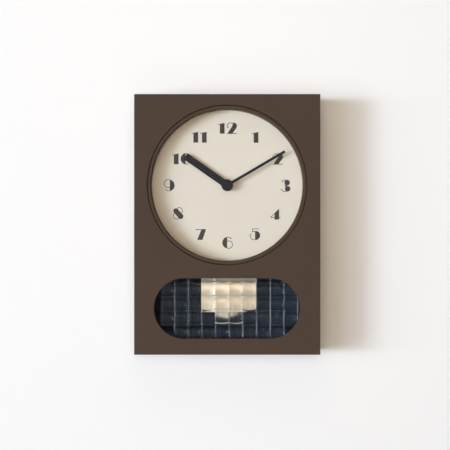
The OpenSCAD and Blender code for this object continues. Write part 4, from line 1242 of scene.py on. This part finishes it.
class CLOCK_OT_pendulum(bpy.types.Operator):
    """Spin the bob and punch the rod"""

    bl_idname = "clock.pendulum"
    bl_label = "Pendulum"

    def execute(self, context):
        sizes = context.scene.clock_sizes
        low, high = span("bob")
        radius, rise, skin = (high.x - low.x) / 2, sizes.bob_rise, sizes.bob_skin
        ball = (radius ** 2 + rise ** 2) / (2 * rise)
        edge = math.degrees(math.asin(radius / ball))
        dome = [(r, z) for z, r in arc((high.z - ball, 0), ball, 0, edge, 28)]
        inner = [(r * (radius - skin) / radius, z - skin) for r, z in reversed(dome)]
        shoulder, ease = high.z - rise - 0.3 * MM, 0.2 * MM
        wall = fillet([dome[-1], (radius, shoulder), (radius, low.z),
                       (radius - skin, low.z), inner[0]], ease, closed=False)
        piece_from("bob_spun", lathe(dome[:-1] + wall + inner[1:], BOB, 192), "bob")
        self.rod(sizes.metal_ease)
        return {"FINISHED"}

    def rod(self, ease):
        """Flat strip with round corners and the slot that goes over the lever's hook."""
        low, high = span("pendulum_rod")
        half, hook = 1.5 * MM, high.y - 5.5 * MM
        top = hook + 3.2 * MM
        slot = arc((0, hook), half, 180, 360, 24) + [(half, top), (-half, top)]
        mesh = plate([fillet(rectangle(low, high), 1.2 * MM), slot], low.z, high.z, ease)
        piece_from("pendulum_strip", mesh, "pendulum_rod")


class CLOCK_OT_finishes(bpy.types.Operator):
    """Give every other node the finish of its slot"""

    bl_idname = "clock.finishes"
    bl_label = "Other pieces"

    def execute(self, context):
        for name, node in frame["nodes"].items():
            if not node.hide_render:
                node.data.materials.clear()
                node.data.materials.append(finish_of(NODE_SLOT[name]))
        return {"FINISHED"}


WHITE = (1.0, 1.0, 1.0, 1.0)
COOL = (0.88, 1.0, 1.15)
WARM = (1.26, 1.0, 0.71)


class CLOCK_OT_stage(bpy.types.Operator):
    """Set up the wall, the floor, the lamps, the world and the camera"""

    bl_idname = "clock.stage"
    bl_label = "Stage"

    def execute(self, context):
        self.planes(context.scene.clock_colours.wall)
        self.lamps()
        self.world(context)
        self.camera(context)
        return {"FINISHED"}

    def planes(self, tint):
        """A wall that shows only from the front, and a floor."""
        wall_y, floor_z, top, reach = CASE_HIGH.y + 0.3 * MM, -0.95, 1.6, 2.6
        corners = rectangle((-reach, floor_z), (reach, top))
        flat = rectangle((-reach, -reach), (reach, reach))
        for name, outline in (("wall", [(x, wall_y, z) for x, z in corners]),
                              ("floor", [(x, y, floor_z) for x, y in flat])):
            mesh = bpy.data.meshes.new(name)
            mesh.from_pydata(outline, [], [(0, 1, 2, 3)])
            obj = bpy.data.objects.new(name, mesh)
            bpy.context.collection.objects.link(obj)
            mesh.materials.append(self.backdrop(name, tint, name == "wall"))
            obj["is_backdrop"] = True

    def backdrop(self, name, tint, is_wall):
        """Pale matt paint. The wall is seen only from the front and stops no lamp's light."""
        material = bpy.data.materials.new(name)
        graph = Graph(cleared(material))
        patches = graph.ranged(graph.noise(3.0), 0.0, 1.0)
        matt = graph.add("ShaderNodeBsdfDiffuse",
                         {"Color": graph.mix(patches, rgba(tint, 0.995), rgba(tint))})
        glow = graph.add("ShaderNodeEmission", {"Color": WHITE, "Strength": 1.0})
        rays = graph.wires("ShaderNodeLightPath")
        mirrored = graph.math("MAXIMUM", rays["Is Glossy Ray"], rays["Is Transmission Ray"])
        passing = 1.0 - graph.math("MAXIMUM", rays["Is Camera Ray"], mirrored)
        if is_wall:
            behind = graph.add("ShaderNodeNewGeometry", output="Backfacing")
            passing = graph.math("MAXIMUM", behind, passing)
        clear = graph.add("ShaderNodeBsdfTransparent")
        shown = graph.mix_shader(passing, graph.mix_shader(0.05, matt, glow), clear)
        graph.node("ShaderNodeOutputMaterial", {"Surface": shown})
        graph.arrange()
        return material

    # Name, degrees out of the wall's plane on the left, degrees up, metres away, width and
    # height in degrees, share of the wall's light, tint, and whether gloss shows it
    room = (
        ("key", 35, 0, 14.0, 28, 5, 0.18, COOL, False),
        ("window_side", 57, 0, 14.0, 20, 6, 0.155, COOL, False),
        ("line_side", 40, -3, 8.0, 13, 26, 0.18, COOL, True),
        ("line_fill", 40, -3, 8.0, 13, 26, 0.09, COOL, False),
        ("soft_side", 60, 5, 5.0, 22, 30, 0.02, COOL, True),
        ("front_fill", 88, 2, 2.2, 24, 24, 0.265, WARM, False),
        ("upper_fill", 88, 44, 1.2, 20, 30, 0.06, (1.1, 1.0, 0.9), False),
        ("low_strip", 88, -35, 2.5, 50, 14, 0.045, (0.95, 1.0, 1.05), False),
    )
    # Lamps behind the wall, which light the sides and the back: name, place, size and power
    behind = (
        ("behind_left", (-2.0, 1.0, 0.4), 2.0, 26.0),
        ("behind_right", (2.0, 0.8, 0.4), 2.0, 34.0),
        ("behind_back", (0.3, 2.2, 0.3), 2.4, 22.0),
        ("behind_top", (0.0, 0.6, 2.0), 2.0, 26.0),
    )

    def lamps(self):
        """Broad soft lamps in front of the wall, and soft ones behind it for the other sides."""
        centre = Vector((0, 0, (CASE_LOW.z + CASE_HIGH.z) / 2))
        for name, out, up, away, wide, high, share, tint, shows in self.room:
            out, up = math.radians(out), math.radians(up)
            aim = Vector((-math.cos(out) * math.cos(up), -math.sin(out) * math.cos(up),
                          math.sin(up)))
            size = [2 * away * math.tan(math.radians(full / 2)) for full in (wide, high)]
            power = share * math.pi ** 2 * away ** 2 / -aim.y
            self.lamp(name, centre + away * aim, size, power, tint, centre, shows)
        for name, place, size, power in self.behind:
            self.lamp(name, Vector(place), (size, size), power, WHITE[:3], centre, True)

    def lamp(self, name, place, size, power, tint, target, shows):
        """One area lamp that faces the clock, and may be kept out of reflections."""
        lamp = bpy.data.lights.new(name, "AREA")
        lamp.shape = "RECTANGLE"
        lamp.size, lamp.size_y = size
        lamp.energy = power
        lamp.color = tint
        obj = bpy.data.objects.new(name, lamp)
        obj.location = place
        obj.visible_camera = False
        obj.visible_glossy = shows
        obj.visible_transmission = shows
        obj.rotation_mode = "QUATERNION"
        obj.rotation_quaternion = (target - place).to_track_quat("-Z", "Y")
        bpy.context.collection.objects.link(obj)

    def world(self, context):
        """Even soft light, white for the camera, and a pale band that the bob mirrors."""
        world = bpy.data.worlds.new("room")
        context.scene.world = world
        graph = Graph(cleared(world))
        rays = graph.wires("ShaderNodeLightPath")
        aim = graph.axes(graph.add("ShaderNodeTexCoord", output="Generated"))
        # The band slants down to the right, and the room is dim beside the camera
        band = graph.bell((aim["Z"] + 0.115 + aim["X"] * 0.25) / 0.11)
        beside = graph.bell(aim["X"] / 0.14)
        level = graph.bell((aim["Z"] - 0.035) / 0.08)
        room = graph.mix(band, (0.40, 0.29, 0.21, 1.0), (2.3, 1.68, 1.22, 1.0))
        room = graph.mix(beside * level * 0.5, room, (0.0, 0.0, 0.0, 1.0))
        # A pane's own back face mirrors a darker and bluer room than the bob behind it does
        deep = graph.math("GREATER_THAN", rays["Transmission Depth"], 2.5)
        room = graph.mix(deep, (0.185, 0.19, 0.215, 1.0), room)
        shown = graph.add("ShaderNodeBackground", {"Color": (*WARM, 1.0), "Strength": 0.075})
        for ray, tint, strength in (("Is Glossy Ray", (0.35, 0.6, 1.0, 1.0), 0.07),
                                    ("Is Transmission Ray", room, 2.5),
                                    ("Is Camera Ray", WHITE, 1.0)):
            seen = graph.add("ShaderNodeBackground", {"Color": tint, "Strength": strength})
            shown = graph.mix_shader(rays[ray], shown, seen)
        graph.node("ShaderNodeOutputWorld", {"Surface": shown})
        graph.arrange()

    def camera(self, context):
        """A long lens square on to the wall."""
        frame_width, away, aside, down = 603.9 * MM, 1.5, -3.0 * MM, -150.8 * MM
        camera = bpy.data.cameras.new("camera")
        camera.sensor_width = 36.0
        camera.lens = camera.sensor_width * away / frame_width
        camera.clip_start, camera.clip_end = 0.05, 20.0
        obj = bpy.data.objects.new("camera", camera)
        obj.location = (aside, CASE_LOW.y - away, down)
        obj.rotation_euler = (math.pi / 2, 0, 0)
        bpy.context.collection.objects.link(obj)
        context.scene.camera = obj
        context.scene.view_settings.view_transform = "Standard"


class CLOCK_PT_panel(bpy.types.Panel):
    """Lists the clock's operators, sizes and colours"""

    bl_label = "Pendulum wall clock"
    bl_idname = "CLOCK_PT_panel"
    bl_space_type = "VIEW_3D"
    bl_region_type = "UI"
    bl_category = "Clock"

    def draw(self, context):
        layout = self.layout
        for operator in OPERATORS:
            layout.operator(operator.bl_idname)
        for settings in (context.scene.clock_sizes, context.scene.clock_colours):
            box = layout.box()
            for name in settings.__annotations__:
                box.prop(settings, name)


OPERATORS = (CLOCK_OT_case, CLOCK_OT_back, CLOCK_OT_bezel, CLOCK_OT_hands, CLOCK_OT_window,
             CLOCK_OT_clips, CLOCK_OT_screws, CLOCK_OT_movement, CLOCK_OT_pendulum,
             CLOCK_OT_finishes, CLOCK_OT_stage)
CLASSES = (ClockSizes, ClockColours, *OPERATORS, CLOCK_PT_panel)


def register():
    """Registers the classes and puts the settings on the scene."""
    for made in CLASSES:
        bpy.utils.register_class(made)
    bpy.types.Scene.clock_sizes = bpy.props.PointerProperty(type=ClockSizes)
    bpy.types.Scene.clock_colours = bpy.props.PointerProperty(type=ClockColours)


def unregister():
    """Takes the settings off the scene and unregisters the classes."""
    del bpy.types.Scene.clock_colours
    del bpy.types.Scene.clock_sizes
    for made in reversed(CLASSES):
        bpy.utils.unregister_class(made)


def main():
    """Makes every piece and the stage."""
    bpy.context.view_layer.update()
    register()
    for operator in OPERATORS:
        family, name = operator.bl_idname.split(".")
        getattr(getattr(bpy.ops, family), name)()


if __name__ == "__main__":
    main()
